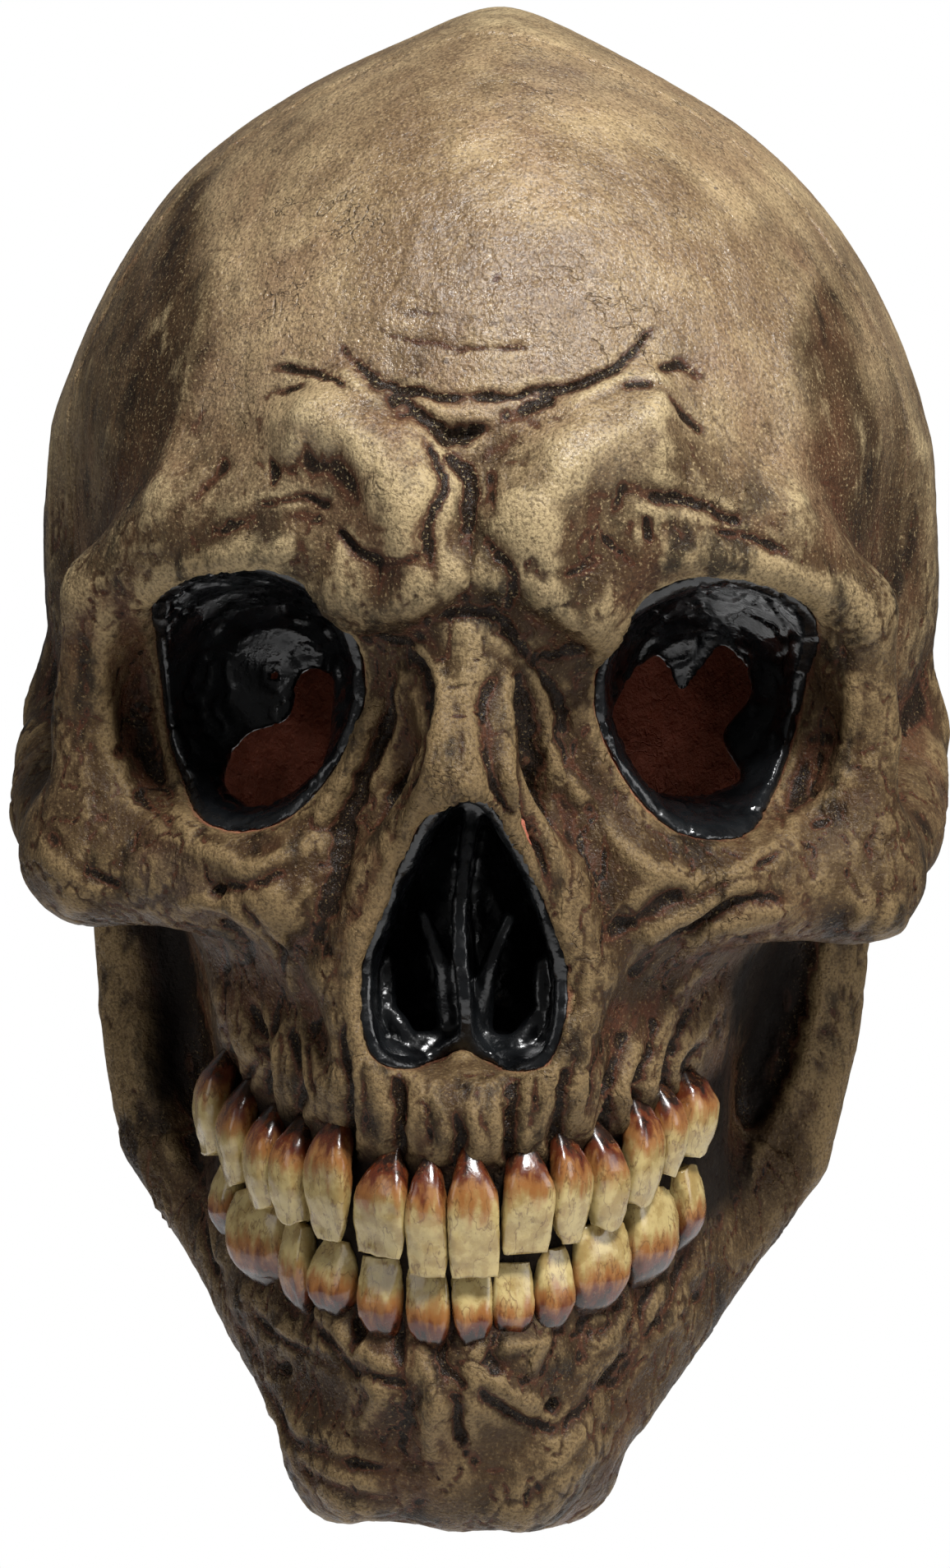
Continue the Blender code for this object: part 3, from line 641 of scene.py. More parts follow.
def sculpt():
    """All strokes of the face on one raster."""
    relief = Relief()
    for width, height, points in LUMPS:
        relief.add_lump(width, height * LUMP_GAIN, points)
    for width, height, points in RAISED:
        relief.add_raised(width, height * RAISED_GAIN, points)
    for width, depth, points in CREASES:
        relief.add_crease(width * CREASE_WIDTH_GAIN, depth * CREASE_DEPTH_GAIN, points)
    add_root_folds(relief)
    return relief


def weathered(points, normals, relief):
    """Points moved out or in by the sculpting and the skin's own unevenness."""
    facing = np.clip((-normals[:, 1] - 0.12) / 0.35, 0, 1)
    carved = relief.read(relief.height(), points) * facing
    sides = np.clip(1 - facing, 0, 1)
    swell = rough(points, 42.0, 2) * 0.7 * (0.4 + 0.6 * sides)
    leather = np.abs(rough(points, (7.0, 7.0, 11.0), 3))
    furrow = np.clip(0.16 - leather, 0, 1) * 3.2
    below_brow = np.clip((-60 - points[:, 2]) / 40, 0, 1)
    fine = rough(points, 3.4, 2) * 0.16
    seam = np.exp(-((points[:, 1] - SEAM_Y) / 1.6)**2) * np.clip(rough(points, 4.0, 2) + 0.3, 0, 1)
    move = carved + swell - furrow * (0.25 + 0.75 * below_brow) + fine * (0.4 + 0.6 * below_brow)
    return points + normals * (move + seam * 0.8)[:, None]


def follow_inside(points, normals, relief):
    """Inner points moved inward where the outside is cut deeper than the wall allows."""
    facing = np.clip((normals[:, 1] - 0.12) / 0.35, 0, 1)
    extra = np.clip(-relief.read(relief.height(), points) - 1.2, 0, 6) * facing
    return points + normals * extra[:, None]


def paint(points, quads, normals, relief, outside):
    """Attributes that the skin's material reads, one value for each point."""
    fine, middle, broad = (hollowness(points, quads, normals, times) for times in (3, 16, 70))
    facing = np.clip((-normals[:, 1] - 0.05) / 0.3, 0, 1)
    crease = relief.read(relief.crease, points) * facing
    # hollow: how far a point lies below its surroundings; the material darkens these hollows, partly
    # as a paint wash and partly as painted shade
    hollow = np.clip(fine * 1.6 + middle * 0.75 + broad * 0.16 + crease * 0.22, 0, 1)
    # crest: how far a point stands above its surroundings; the material lightens these ridges, partly
    # dry-brushed paint and partly painted highlight
    crest = np.clip(-(fine * 1.5 + middle * 0.7 + broad * 0.22), 0, 1)
    depth, level = row_place(points[:, 0], points[:, 1], points[:, 2])
    # Black band around the tooth rows: painted shade in the mouth.
    recess_paint_and_shade = np.clip((20 - np.abs(level + 224)) / 6, 0, 1) * np.clip((16 - depth) / 6, 0, 1)
    recess_paint_and_shade = recess_paint_and_shade * (np.abs(points[:, 0]) < 62)
    crest = crest * (1 - 0.8 * np.exp(-((points[:, 1] - SEAM_Y) / 4)**2))
    # Cheek pits in front of the jaw branches turn black too: their own black paint and painted shade
    # of a deeper recess.
    cheek = np.zeros(len(points))
    for outline in (Outline(CHEEK_PIT_LEFT), Outline(CHEEK_PIT_RIGHT)):
        edge = outline.at(points[:, 0], points[:, 2]) + rough(points, 7.0, 2) * 1.5
        cheek = np.maximum(cheek, np.clip((1.5 - edge) / 3.5, 0, 1))
    cheek = cheek * np.clip((-4 - points[:, 1]) / 6, 0, 1)
    red = np.exp(-((points[:, 2] + 51) / 8)**2 - (points[:, 0] / 34)**2) * facing
    chin_block = (points[:, 1] < CHIN_BACK_Y - 2) & (points[:, 2] < CHIN_FLOOR_Z - 4)
    inside = np.clip(-(outside + 0.9) / 0.9, 0, 1) * ~chin_block
    uneven = rough(points, 26.0, 3)
    # Darker towards the bottom of the face and on the temples, partly a paint wash and partly painted
    # shade; the temple on the lit wearer's left is darkened less, and ridges take a darker tone lower
    # down.
    low_face = np.clip((-34 - points[:, 2] + uneven * 14) / 50, 0, 1)
    low = np.clip((-70 - points[:, 2] + uneven * 10) / 45, 0, 1)
    temples = np.clip((np.abs(points[:, 0]) - 66 + uneven * 9) / 12, 0, 1) * (points[:, 2] < 5)
    temples = temples * np.where(points[:, 0] > 0, 0.55, 1.0)
    temples = temples * np.clip((-20 - points[:, 1] + uneven * 12) / 16, 0, 1) * 0.75
    wash_and_shade = np.maximum(low_face, temples)
    for band in TEMPLE_BANDS:
        away = ridge(points[:, 0], 0.0, points[:, 2], [(x, 0, z, 0) for x, z in band])
        band_wash = np.clip(1.5 - (away + uneven * 4) / 7, 0, 1) * (points[:, 1] < -15)
        wash_and_shade = np.maximum(wash_and_shade, band_wash)
    return {"hollow": hollow, "crest": crest, "recess_paint_and_shade": np.maximum(recess_paint_and_shade, cheek), "red": red,
            "inside": inside, "wash_and_shade": wash_and_shade, "low": low}


def shell_of(x, y, z):
    """Distance to the latex skin: the head less a smaller head, open at the neck."""
    outer = head(x, y, z)
    chin_floor = np.minimum(CHIN_FLOOR_Z - z, CHIN_BACK_Y - y)
    cavity = smooth_max(outer + WALL, chin_floor, 4.0)
    skin = smooth_max(outer, -cavity, 0.8)
    return smooth_max(skin, above_rim(y, z) + 0 * x, 1.6)


# ---- skins ----
def fold_distance(x, y, z, side):
    """Negative on the slit's side of one fold line, seen from behind."""
    return (x * side - FOLD_SLOPE * (FOLDS_MEET_Z - z)) / math.hypot(1, FOLD_SLOPE)


def finished_skin(name, distance, low, step, relief, material):
    """Skin piece with the sculpting, the wear and the paint on its outside."""
    points, quads = skin_of(distance, low, step)
    outside = head(points[:, 0], points[:, 1], points[:, 2])
    normals = normals_of(points, quads)
    worn = np.clip((outside + 1.7) / 1.2, 0, 1)
    inner = follow_inside(points, normals, relief)
    points = inner + (weathered(points, normals, relief) - inner) * worn[:, None]
    normals = normals_of(points, quads)
    return new_piece(name, points, quads, material,
                     paint(points, quads, normals, relief, outside))


def thinned(piece, keep):
    """The piece with fewer faces, which keeps its painted attributes."""
    fewer = piece.modifiers.new("fewer_faces", "DECIMATE")
    fewer.ratio = keep
    ready = piece.evaluated_get(bpy.context.evaluated_depsgraph_get())
    full, piece_mesh = piece.data, bpy.data.meshes.new_from_object(ready)
    piece.modifiers.clear()
    piece.data = piece_mesh
    bpy.data.meshes.remove(full)
    piece.data.shade_smooth()
    return piece


def make_face(relief, outlines, material):
    low, high = (-110, -136, -294), (110, SEAM_Y + 3, 40)
    x, y, z = grid(low, high, FACE_STEP)
    d = shell_of(x, y, z)
    d = smooth_max(d, y - SEAM_Y + 0 * d, 0.6)
    for outline, stations, turn in outlines:
        hole = outline.lofted(x, y, z, stations, turn) - 0.3
        front = np.maximum(hole, y - OPENING_BACK_Y + 0 * hole)
        d = smooth_max(d, -front, 1.6)
    skin = finished_skin("face_skin_sculpted", d, low, FACE_STEP, relief, material)
    return thinned(skin, FACE_KEEP)


def make_rear(relief, material):
    low, high = (-110, SEAM_Y - 3, -276), (110, 134, 40)
    x, y, z = grid(low, high, REAR_STEP)
    d = shell_of(x, y, z)
    d = smooth_max(d, SEAM_Y - y + 0 * d, 0.6)
    for side in (1, -1):
        wedge = np.maximum(fold_distance(x, y, z, side) + 0 * y, -x * side - 0.01)
        wedge = np.maximum(np.maximum(wedge, 20 - y), z - FOLDS_MEET_Z)
        d = np.maximum(d, -wedge)
    return finished_skin("rear_skin_sculpted", d, low, REAR_STEP, relief, material)


def make_flap(word, relief, material):
    side = 1 if word == "left" else -1
    low = (-2 if side > 0 else -48, 60, -218)
    high = (48 if side > 0 else 2, 134, -100)
    step = FACE_STEP
    x, y, z = grid(low, high, step)
    d = shell_of(x, y, z)
    slit = 0.3 + 0.5 * np.clip((FOLDS_MEET_Z - z) / 40, 0, 1)
    d = smooth_max(d, slit - x * side + 0 * d, 1.0)
    d = np.maximum(d, fold_distance(x, y, z, side) - 0.3 + 0 * d)
    return finished_skin(f"slit_flap_{word}_skin", d, low, step, relief, material)


# ---- cups ----
def make_eye_cup(word, outline, vision, material):
    """Glossy cup of one orbit, with a ragged hole to look through."""
    side = 1 if word == "left" else -1
    low = (18 if side > 0 else -82, -114, -146)
    high = (82 if side > 0 else -18, -52, -78)
    x, y, z = grid(low, high, CUP_STEP)
    bowl = outline.lofted(x, y, z, ORBIT_STATIONS, side) - 0.7
    hollow = outline.lofted(x, y + CUP_WALL, z, ORBIT_STATIONS, side) + CUP_WALL
    d = smooth_max(smooth_max(bowl, -hollow, 0.6), y - EYE_CUP_BACK_Y + 0 * bowl, 1.0)
    window = np.maximum(vision.at(*np.broadcast_arrays(x, z)), VISION_FRONT_Y - y + 0 * x)
    d = smooth_max(d, -window, 1.4)
    d = smooth_max(d, head(x, y, z) + CUP_SET_BACK, 1.0)
    points, quads = skin_of(d, low, CUP_STEP)
    normals = normals_of(points, quads)
    folds = np.abs(rough(points, (9.0, 14.0, 9.0), 3))
    move = rough(points, 12.0, 2) * 0.5 - np.clip(0.22 - folds, 0, 1) * 3.0
    points = points + normals * move[:, None]
    return new_piece(f"eye_cup_{word}_glossy", points, quads, material)


def make_nasal_cup(outline, material):
    """Glossy cup of the nose, with a middle wall and rolled bone on each side."""
    low, high = (-30, -134, -194), (30, -76, -122)
    x, y, z = grid(low, high, CUP_STEP)
    bowl = outline.lofted(x, y, z, NOSE_STATIONS) - 0.9
    hollow = outline.lofted(x, y + CUP_WALL, z, NOSE_STATIONS) + CUP_WALL
    d = smooth_max(smooth_max(bowl, -hollow, 0.6), y - NOSE_CUP_BACK_Y + 0 * bowl, 1.0)
    wall = np.maximum(np.abs(x + 1.2 * np.sin(z / 9)) - 1.5, -(y + 112 - 0.22 * (z + 160))) + 0 * d
    d = smooth_min(d, np.maximum(wall, bowl + 0.5), 3.0)
    for side in (1, -1):
        for scroll in NOSE_SCROLLS:
            rod = [(side * across, *rest) for across, *rest in scroll]
            d = smooth_min(d, np.maximum(ridge(x, y, z, rod), bowl + 0.4), 2.5)
    d = smooth_max(d, head(x, y, z) + CUP_SET_BACK, 1.0)
    points, quads = skin_of(d, low, CUP_STEP)
    normals = normals_of(points, quads)
    points = points + normals * (rough(points, 8.0, 3) * 0.5)[:, None]
    return new_piece("nasal_cup_glossy", points, quads, material)


# ---- teeth ----
ROOT_BURIED = 5.0
THIN_TOOTH, MOLAR_TOOTH = 3.3, 3.7          # half depths
TOOTH_RINGS, TOOTH_SIDES = 30, 32
PROFILES = {        # half width and half thickness from root to edge, at even steps
    "incisor": ((0.20, 0.44, 0.72, 0.90, 0.98, 1.0, 0.99, 0.95, 0.84),
                (0.4, 0.7, 0.94, 0.94, 0.84, 0.70, 0.54, 0.38, 0.18)),
    "canine": ((0.22, 0.46, 0.74, 0.92, 1.0, 1.0, 0.94, 0.80, 0.52),
               (0.4, 0.7, 1.0, 1.0, 0.92, 0.80, 0.64, 0.46, 0.24)),
    "molar": ((0.30, 0.54, 0.78, 0.92, 1.0, 1.0, 0.98, 0.93, 0.78),
              (0.4, 0.7, 0.96, 1.0, 1.0, 0.97, 0.90, 0.76, 0.50)),
}


def stand_in(piece, node):
    """The piece is shown in the place of a CAD node, and moves with the shell."""
    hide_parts(node)
    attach(piece, "mask_shell")


def tooth_kind(name):
    return next((kind for kind in ("incisor", "canine") if kind in name), "molar")


def make_tooth(name, x, width, edge_z, root_z, front_y, draw, material):
    """One tooth lofted from its root up or down to its edge, a little crooked."""
    widths, depths = PROFILES[tooth_kind(name)]
    slots = np.linspace(0, 1, len(widths))
    y = front_y + ARCH * x * x
    lean = math.atan2(2 * ARCH * x, 1.0)
    across = np.array([math.cos(lean), math.sin(lean), 0.0])
    inward = np.array([-math.sin(lean), math.cos(lean), 0.0])
    sign = math.copysign(1.0, edge_z - root_z)
    root_end = root_z - sign * ROOT_BURIED
    half_depth = MOLAR_TOOTH if tooth_kind(name) == "molar" else THIN_TOOTH
    tilt, twist = draw.uniform(-0.07, 0.07), draw.uniform(-0.20, 0.20)
    rings, sides = TOOTH_RINGS, TOOTH_SIDES
    points, root_amount = [], []
    for ring in range(rings):
        v = ring / (rings - 1)
        v = 1 - (1 - v)**1.25
        w = np.interp(v, slots, widths) * width / 2 * 0.98
        t = np.interp(v, slots, depths) * half_depth
        height = root_end + (edge_z - root_end) * v
        bow = 1.1 * math.sin(math.pi * min(v * 1.1, 1.0)) - 1.2 * (1 - v)
        sink = 2.8 * max(1 - v / 0.45, 0)**1.3
        for k in range(sides):
            angle = 2 * math.pi * k / sides
            ca, sa = math.cos(angle), math.sin(angle)
            a = math.copysign(abs(ca)**0.62, ca) * w
            b = math.copysign(abs(sa)**0.72, sa) * t
            droop = 0.0
            if tooth_kind(name) == "molar":
                droop = 0.9 * math.cos(2 * math.pi * a / width) * v**6 * sign
            place = np.array([x, y, height + droop]) + across * (a + tilt * (height - edge_z))
            place = place + inward * (half_depth + b - bow + twist * a + sink)
            points.append(place)
            # The root value darkens the tooth towards its root; lower teeth get 0.12 more, partly
            # stain and partly painted shade.
            root_amount.append((height - edge_z) / (root_z - edge_z) + (0.12 if sign > 0 else 0.0))
    points = np.array(points)
    points = points + rough(points + 90, (2.4, 2.4, 6.0), 3)[:, None] * 0.28
    faces = [(r * sides + k, r * sides + (k + 1) % sides, (r + 1) * sides + (k + 1) % sides,
              (r + 1) * sides + k) for r in range(rings - 1) for k in range(sides)]
    if sign < 0:
        faces = [face[::-1] for face in faces]
    top = list(range((rings - 1) * sides, rings * sides))
    bottom = list(range(sides))
    faces += [top if sign > 0 else top[::-1], bottom[::-1] if sign > 0 else bottom]
    return new_piece(f"{name}_enamel", points, faces, material, {"root": root_amount})


def make_teeth(material):
    draw = np.random.default_rng(11)
    for word in ("left", "right"):
        for row, lift, front_y in (("upper", 0.0, UPPER_FRONT), ("lower", 1.0, LOWER_FRONT)):
            for name, x, width, edge, root in tooth_row(row, word):
                stand_in(make_tooth(name, x, width, edge + lift, root, front_y, draw, material), name)


# ---- inner pieces ----
def make_pad(material):
    """Foam disc under the crown: flat where it rests, domed against the skin."""
    low, high = (-50, -50, -4), (50, 50, 34)
    step = 1.6
    x, y, z = grid(low, high, step)
    d = np.sqrt(x**2 + y**2) - PAD_RADIUS + 0.6 + 0 * z
    d = smooth_max(d, head(x, y, z) + WALL + 0.6, 7.0)
    d = smooth_max(d, -z - 0.2 + 0 * d, 5.0)
    points, quads = skin_of(d, low, step)
    normals = normals_of(points, quads)
    groove = np.exp(-((np.hypot(points[:, 0], points[:, 1]) - 36) / 1.6)**2) * (points[:, 2] < 6)
    points = points + normals * (rough(points, 9.0, 2) * 0.25 - groove * 1.3)[:, None]
    return new_piece("crown_pad_foam", points, quads, material)


def make_tape(word, material):
    """Gauze strip glued along the inside of the seam."""
    side = 1 if word == "left" else -1
    rim = RIM_POINT[1] + (SEAM_Y - TAPE_WIDTH / 2 - RIM_POINT[0]) * RIM_SLOPE
    ys = np.linspace(SEAM_Y - TAPE_WIDTH / 2, SEAM_Y + TAPE_WIDTH / 2, TAPE_COLUMNS)
    zs = np.linspace(max(rim + 14, TAPE_FOOT_Z), TAPE_TOP_Z, TAPE_ROWS)
    across = np.arange(106.0, 30.0, -0.2)
    depth = head(across[:, None, None], ys[None, :, None], zs[None, None, :])
    faces_of = []
    for sunk in (WALL + 0.35, WALL + 0.35 + TAPE_THICKNESS):
        x = across[np.argmax(depth < -sunk, axis=0)]
        y, z = np.broadcast_arrays(ys[:, None], zs[None, :])
        faces_of.append(np.stack([side * x, y, z], axis=2).reshape(-1, 3))
    points = np.concatenate(faces_of)
    points[:, 0] += rough(points, 5.0, 2) * 0.05
    rows, count = TAPE_ROWS, TAPE_COLUMNS * TAPE_ROWS
    quads = [(c * rows + r, (c + 1) * rows + r, (c + 1) * rows + r + 1, c * rows + r + 1)
             for c in range(TAPE_COLUMNS - 1) for r in range(rows - 1)]
    quads += [tuple(index + count for index in reversed(quad)) for quad in quads]
    loop = [c * rows for c in range(TAPE_COLUMNS)]
    loop += [(TAPE_COLUMNS - 1) * rows + r for r in range(1, rows)]
    loop += [c * rows + rows - 1 for c in reversed(range(TAPE_COLUMNS - 1))]
    loop += [r for r in reversed(range(1, rows - 1))]
    quads += [(a, a + count, b + count, b) for a, b in zip(loop, loop[1:] + loop[:1])]
    if side < 0:
        quads = [quad[::-1] for quad in quads]
    return new_piece(f"seam_tape_{word}_gauze", points, quads, material)


# ---- materials ----
class Nodes:
    """Short names for building one material's node tree."""

    def __init__(self, name):
        self.material = bpy.data.materials.new(name)
        self.material.use_nodes = True
        self.tree = self.material.node_tree
        self.shader = self.tree.nodes["Principled BSDF"]
        self.place = self.tree.nodes.new("ShaderNodeTexCoord").outputs["Object"]

    def link(self, source, target):
        self.tree.links.new(source, target)

    def attribute(self, name):
        node = self.tree.nodes.new("ShaderNodeAttribute")
        node.attribute_name = name
        return node.outputs["Fac"]

    def noise(self, scale, detail=3.0, stretch=None, roughness=0.55):
        node = self.tree.nodes.new("ShaderNodeTexNoise")
        node.inputs["Scale"].default_value = scale
        node.inputs["Detail"].default_value = detail
        node.inputs["Roughness"].default_value = roughness
        source = self.place
        if stretch:
            mapping = self.tree.nodes.new("ShaderNodeMapping")
            mapping.inputs["Scale"].default_value = stretch
            self.link(self.place, mapping.inputs["Vector"])
            source = mapping.outputs["Vector"]
        self.link(source, node.inputs["Vector"])
        return node.outputs["Fac"]

    def voronoi(self, scale, feature="F1"):
        node = self.tree.nodes.new("ShaderNodeTexVoronoi")
        node.feature = feature
        node.inputs["Scale"].default_value = scale
        self.link(self.place, node.inputs["Vector"])
        return node.outputs["Distance"]

    def window(self, value, low, high, out_low=0.0, out_high=1.0):
        node = self.tree.nodes.new("ShaderNodeMapRange")
        node.interpolation_type = "SMOOTHSTEP"
        for label, number in zip(("From Min", "From Max", "To Min", "To Max"),
                                 (low, high, out_low, out_high)):
            node.inputs[label].default_value = number
        self.link(value, node.inputs["Value"])
        return node.outputs["Result"]

    def maths(self, operation, a, b):
        node = self.tree.nodes.new("ShaderNodeMath")
        node.operation = operation
        for socket, value in zip(node.inputs, (a, b)):
            if isinstance(value, (int, float)):
                socket.default_value = value
            else:
                self.link(value, socket)
        return node.outputs["Value"]

    def times(self, a, b):
        return self.maths("MULTIPLY", a, b)

    def mix(self, amount, a, b):
        node = self.tree.nodes.new("ShaderNodeMix")
        node.data_type = "RGBA"
        for socket, value in ((node.inputs[0], amount), (node.inputs[6], a), (node.inputs[7], b)):
            if isinstance(value, tuple):
                socket.default_value = (*value, 1.0)
            elif isinstance(value, float):
                socket.default_value = value
            else:
                self.link(value, socket)
        return node.outputs[2]

    def bump(self, height, strength, distance, before=None):
        node = self.tree.nodes.new("ShaderNodeBump")
        node.inputs["Strength"].default_value = strength
        node.inputs["Distance"].default_value = distance
        self.link(height, node.inputs["Height"])
        if before is not None:
            self.link(before, node.inputs["Normal"])
        return node.outputs["Normal"]

    def finish(self, colour, roughness, normal, **constants):
        self.link(colour, self.shader.inputs["Base Color"])
        self.link(roughness, self.shader.inputs["Roughness"])
        self.link(normal, self.shader.inputs["Normal"])
        for label, value in constants.items():
            self.shader.inputs[label.replace("_", " ")].default_value = value
        return self.material


BONE_MID = (0.20, 0.128, 0.066)
BONE_PALE = (0.46, 0.335, 0.18)
# Ridge tones: lighter on ridges, partly dry-brushed paint and partly painted highlight, and duller low
# on the face.
BONE_CREST = (0.46, 0.35, 0.19)
CREST_LOW = (0.22, 0.150, 0.072)
# Colours of the darkened lower face and temples: partly a paint wash, partly painted shade.
WASH_AND_SHADE_DARK = (0.028, 0.014, 0.006)
WASH_AND_SHADE_MID = (0.052, 0.028, 0.012)
UMBER = (0.042, 0.023, 0.013)
RED_BROWN = (0.115, 0.036, 0.020)
# Black for the hollows, fold bottoms, mouth and cheek pits: partly paint, partly painted shade.
BLACK_WASH_AND_SHADE = (0.007, 0.005, 0.004)
GREY_STAIN = (0.085, 0.085, 0.088)
INNER_LATEX = (0.42, 0.14, 0.088)
CUP_BLACK, CUP_BLACK_PALE = (0.0015, 0.0015, 0.0018), (0.008, 0.009, 0.010)
IVORY, IVORY_PALE = (0.30, 0.205, 0.072), (0.46, 0.355, 0.150)
ROOT_ORANGE = (0.25, 0.085, 0.020)
ROOT_RED = (0.085, 0.014, 0.005)
ROOT_BLACK = (0.012, 0.006, 0.004)
TOOTH_CRACK = (0.09, 0.032, 0.010)
TOOTH_FLECK = (0.22, 0.12, 0.055)


def fine_lines(n, scale, stretch, width):
    """Thin wandering wrinkles, where a noise passes its middle value."""
    away = n.maths("ABSOLUTE", n.maths("SUBTRACT", n.noise(scale, 4.0, stretch), 0.5), 0.0)
    return n.window(away, 0.0, width, 1.0, 0.0)


def bone_material():
    n = Nodes("painted_bone_latex")
    hollow, crest, recess_paint_and_shade, red, inside = (n.attribute(label) for label in (
        "hollow", "crest", "recess_paint_and_shade", "red", "inside"))
    patches = n.noise(22.0, 4.0)
    streaks = n.noise(60.0, 4.0, (1.0, 1.0, 0.35))
    grain = n.noise(1500.0, 2.0)
    speck = n.noise(480.0, 4.0, None, 0.7)
    blotch = n.noise(150.0, 5.0, None, 0.65)
    colour = n.mix(n.window(patches, 0.36, 0.64), BONE_MID, BONE_PALE)
    # The lower face and temples darken: partly a paint wash, partly painted shade.
    washed_and_shaded = n.mix(n.window(patches, 0.40, 0.68), WASH_AND_SHADE_DARK, WASH_AND_SHADE_MID)
    wash_and_shade = n.attribute("wash_and_shade")
    colour = n.mix(n.times(wash_and_shade, 0.92), colour, washed_and_shaded)
    colour = n.mix(n.window(streaks, 0.52, 0.72, 0.0, 0.45), colour, UMBER)
    warm = n.times(n.window(n.noise(24.0, 4.0), 0.46, 0.68), 0.42)
    colour = n.mix(warm, colour, RED_BROWN)
    colour = n.mix(n.window(n.noise(13.0, 2.0), 0.60, 0.74, 0.0, 0.35), colour, GREY_STAIN)
    # Ridges are painted lighter: partly dry-brushed paint, partly painted highlight; the ridge tone
    # turns darker lower on the face.
    lift = n.times(crest, n.window(blotch, 0.25, 0.6, 0.5, 1.0))
    crest_tone = n.mix(n.attribute("low"), BONE_CREST, CREST_LOW)
    colour = n.mix(n.window(lift, 0.06, 0.70, 0.0, 0.85), colour, crest_tone)
    colour = n.mix(n.window(red, 0.3, 1.0, 0.0, 0.35), colour, RED_BROWN)
    folds = n.noise(95.0, 6.0, (1.0, 1.0, 0.5), 0.6)
    # The folds' own bump is painted into the colour: painted highlight on their tops, painted shade in
    # their bottoms.
    colour = n.mix(n.times(wash_and_shade, n.window(folds, 0.56, 0.70, 0.0, 0.6)), colour, crest_tone)
    colour = n.mix(n.times(wash_and_shade, n.window(folds, 0.48, 0.34, 0.0, 0.9)), colour, BLACK_WASH_AND_SHADE)
    # Hollows darken to umber, red-brown at their edges and black in their depths: partly a paint wash,
    # partly painted shade.
    cavity_paint_and_shade = n.maths("ADD", hollow, n.times(n.maths("SUBTRACT", blotch, 0.5), 0.35))
    colour = n.mix(n.window(cavity_paint_and_shade, 0.06, 0.30, 0.0, 0.75), colour, UMBER)
    edge = n.times(n.window(cavity_paint_and_shade, 0.18, 0.40), n.window(cavity_paint_and_shade, 0.75, 0.45))
    colour = n.mix(n.times(edge, 0.45), colour, RED_BROWN)
    colour = n.mix(n.window(cavity_paint_and_shade, 0.34, 0.72, 0.0, 0.95), colour, BLACK_WASH_AND_SHADE)
    lines = n.maths("MAXIMUM", fine_lines(n, 60.0, (1.0, 1.0, 0.4), 0.012),
                    fine_lines(n, 95.0, (0.5, 1.0, 1.0), 0.010))
    lines = n.times(lines, n.window(n.noise(33.0, 3.0), 0.50, 0.66, 0.0, 0.8))
    colour = n.mix(n.times(lines, 0.5), colour, UMBER)
    specks = n.times(n.window(speck, 0.60, 0.70), n.window(blotch, 0.35, 0.6, 0.35, 0.9))
    colour = n.mix(specks, colour, UMBER)
    colour = n.mix(n.window(grain, 0.30, 0.58, 0.60, 0.0), colour, UMBER)
    colour = n.mix(n.window(grain, 0.58, 0.72, 0.0, 0.55), colour, crest_tone)
    # The mouth goes black as painted shade; the cheek pits go black as paint and painted shade.
    colour = n.mix(n.times(recess_paint_and_shade, 0.92), colour, BLACK_WASH_AND_SHADE)
    inner = n.mix(n.window(patches, 0.35, 0.65), INNER_LATEX, RED_BROWN)
    colour = n.mix(inside, colour, inner)
    gloss = n.maths("SUBTRACT", n.window(blotch, 0.3, 0.7, 0.22, 0.46), n.times(hollow, 0.10))
    gloss = n.maths("ADD", gloss, n.times(recess_paint_and_shade, 0.45))
    normal = n.bump(grain, 0.45, 0.0005)
    normal = n.bump(speck, 0.55, 0.0009, normal)
    normal = n.bump(blotch, 0.40, 0.0014, normal)
    normal = n.bump(n.maths("SUBTRACT", 1.0, lines), 0.6, 0.0009, normal)
    normal = n.bump(folds, 0.75, 0.0032, normal)
    pores = n.window(n.voronoi(420.0), 0.05, 0.35)
    normal = n.bump(pores, 0.30, 0.0005, normal)
    shine = n.window(n.maths("ADD", hollow, wash_and_shade), 0.0, 0.8, 0.55, 0.10)
    n.link(shine, n.shader.inputs["Specular IOR Level"])
    return n.finish(colour, gloss, normal)


def cup_material():
    n = Nodes("glossy_black_latex")
    cloud = n.noise(70.0, 4.0)
    colour = n.mix(n.window(cloud, 0.35, 0.7), CUP_BLACK, CUP_BLACK_PALE)
    gloss = n.window(n.noise(240.0, 3.0), 0.3, 0.7, 0.14, 0.34)
    normal = n.bump(n.noise(120.0, 4.0), 0.5, 0.0014)
    normal = n.bump(n.noise(900.0, 2.0), 0.25, 0.0003, normal)
    return n.finish(colour, gloss, normal, Specular_IOR_Level=0.55)


def tooth_material():
    n = Nodes("stained_tooth_gloss")
    root = n.attribute("root")
    cloud = n.noise(260.0, 4.0)
    streak = n.noise(420.0, 3.0, (1.0, 1.0, 0.22))
    colour = n.mix(n.window(cloud, 0.35, 0.65), IVORY, IVORY_PALE)
    stain = n.maths("ADD", root, n.times(n.maths("SUBTRACT", streak, 0.5), 0.8))
    colour = n.mix(n.window(stain, 0.50, 0.78, 0.0, 0.85), colour, ROOT_ORANGE)
    colour = n.mix(n.window(stain, 0.76, 0.98, 0.0, 0.94), colour, ROOT_RED)
    colour = n.mix(n.window(stain, 0.98, 1.12, 0.0, 0.95), colour, ROOT_BLACK)
    cracks = fine_lines(n, 210.0, (1.0, 1.0, 0.4), 0.018)
    colour = n.mix(n.times(cracks, 0.6), colour, TOOTH_CRACK)
    flecks = n.window(n.noise(1300.0, 2.0), 0.60, 0.72, 0.0, 0.45)
    colour = n.mix(flecks, colour, TOOTH_FLECK)
    gloss = n.window(cloud, 0.3, 0.7, 0.20, 0.34)
    normal = n.bump(streak, 0.28, 0.0005)
    normal = n.bump(n.noise(1100.0, 2.0), 0.18, 0.0003, normal)
    return n.finish(colour, gloss, normal, Coat_Weight=0.35, Coat_Roughness=0.12)


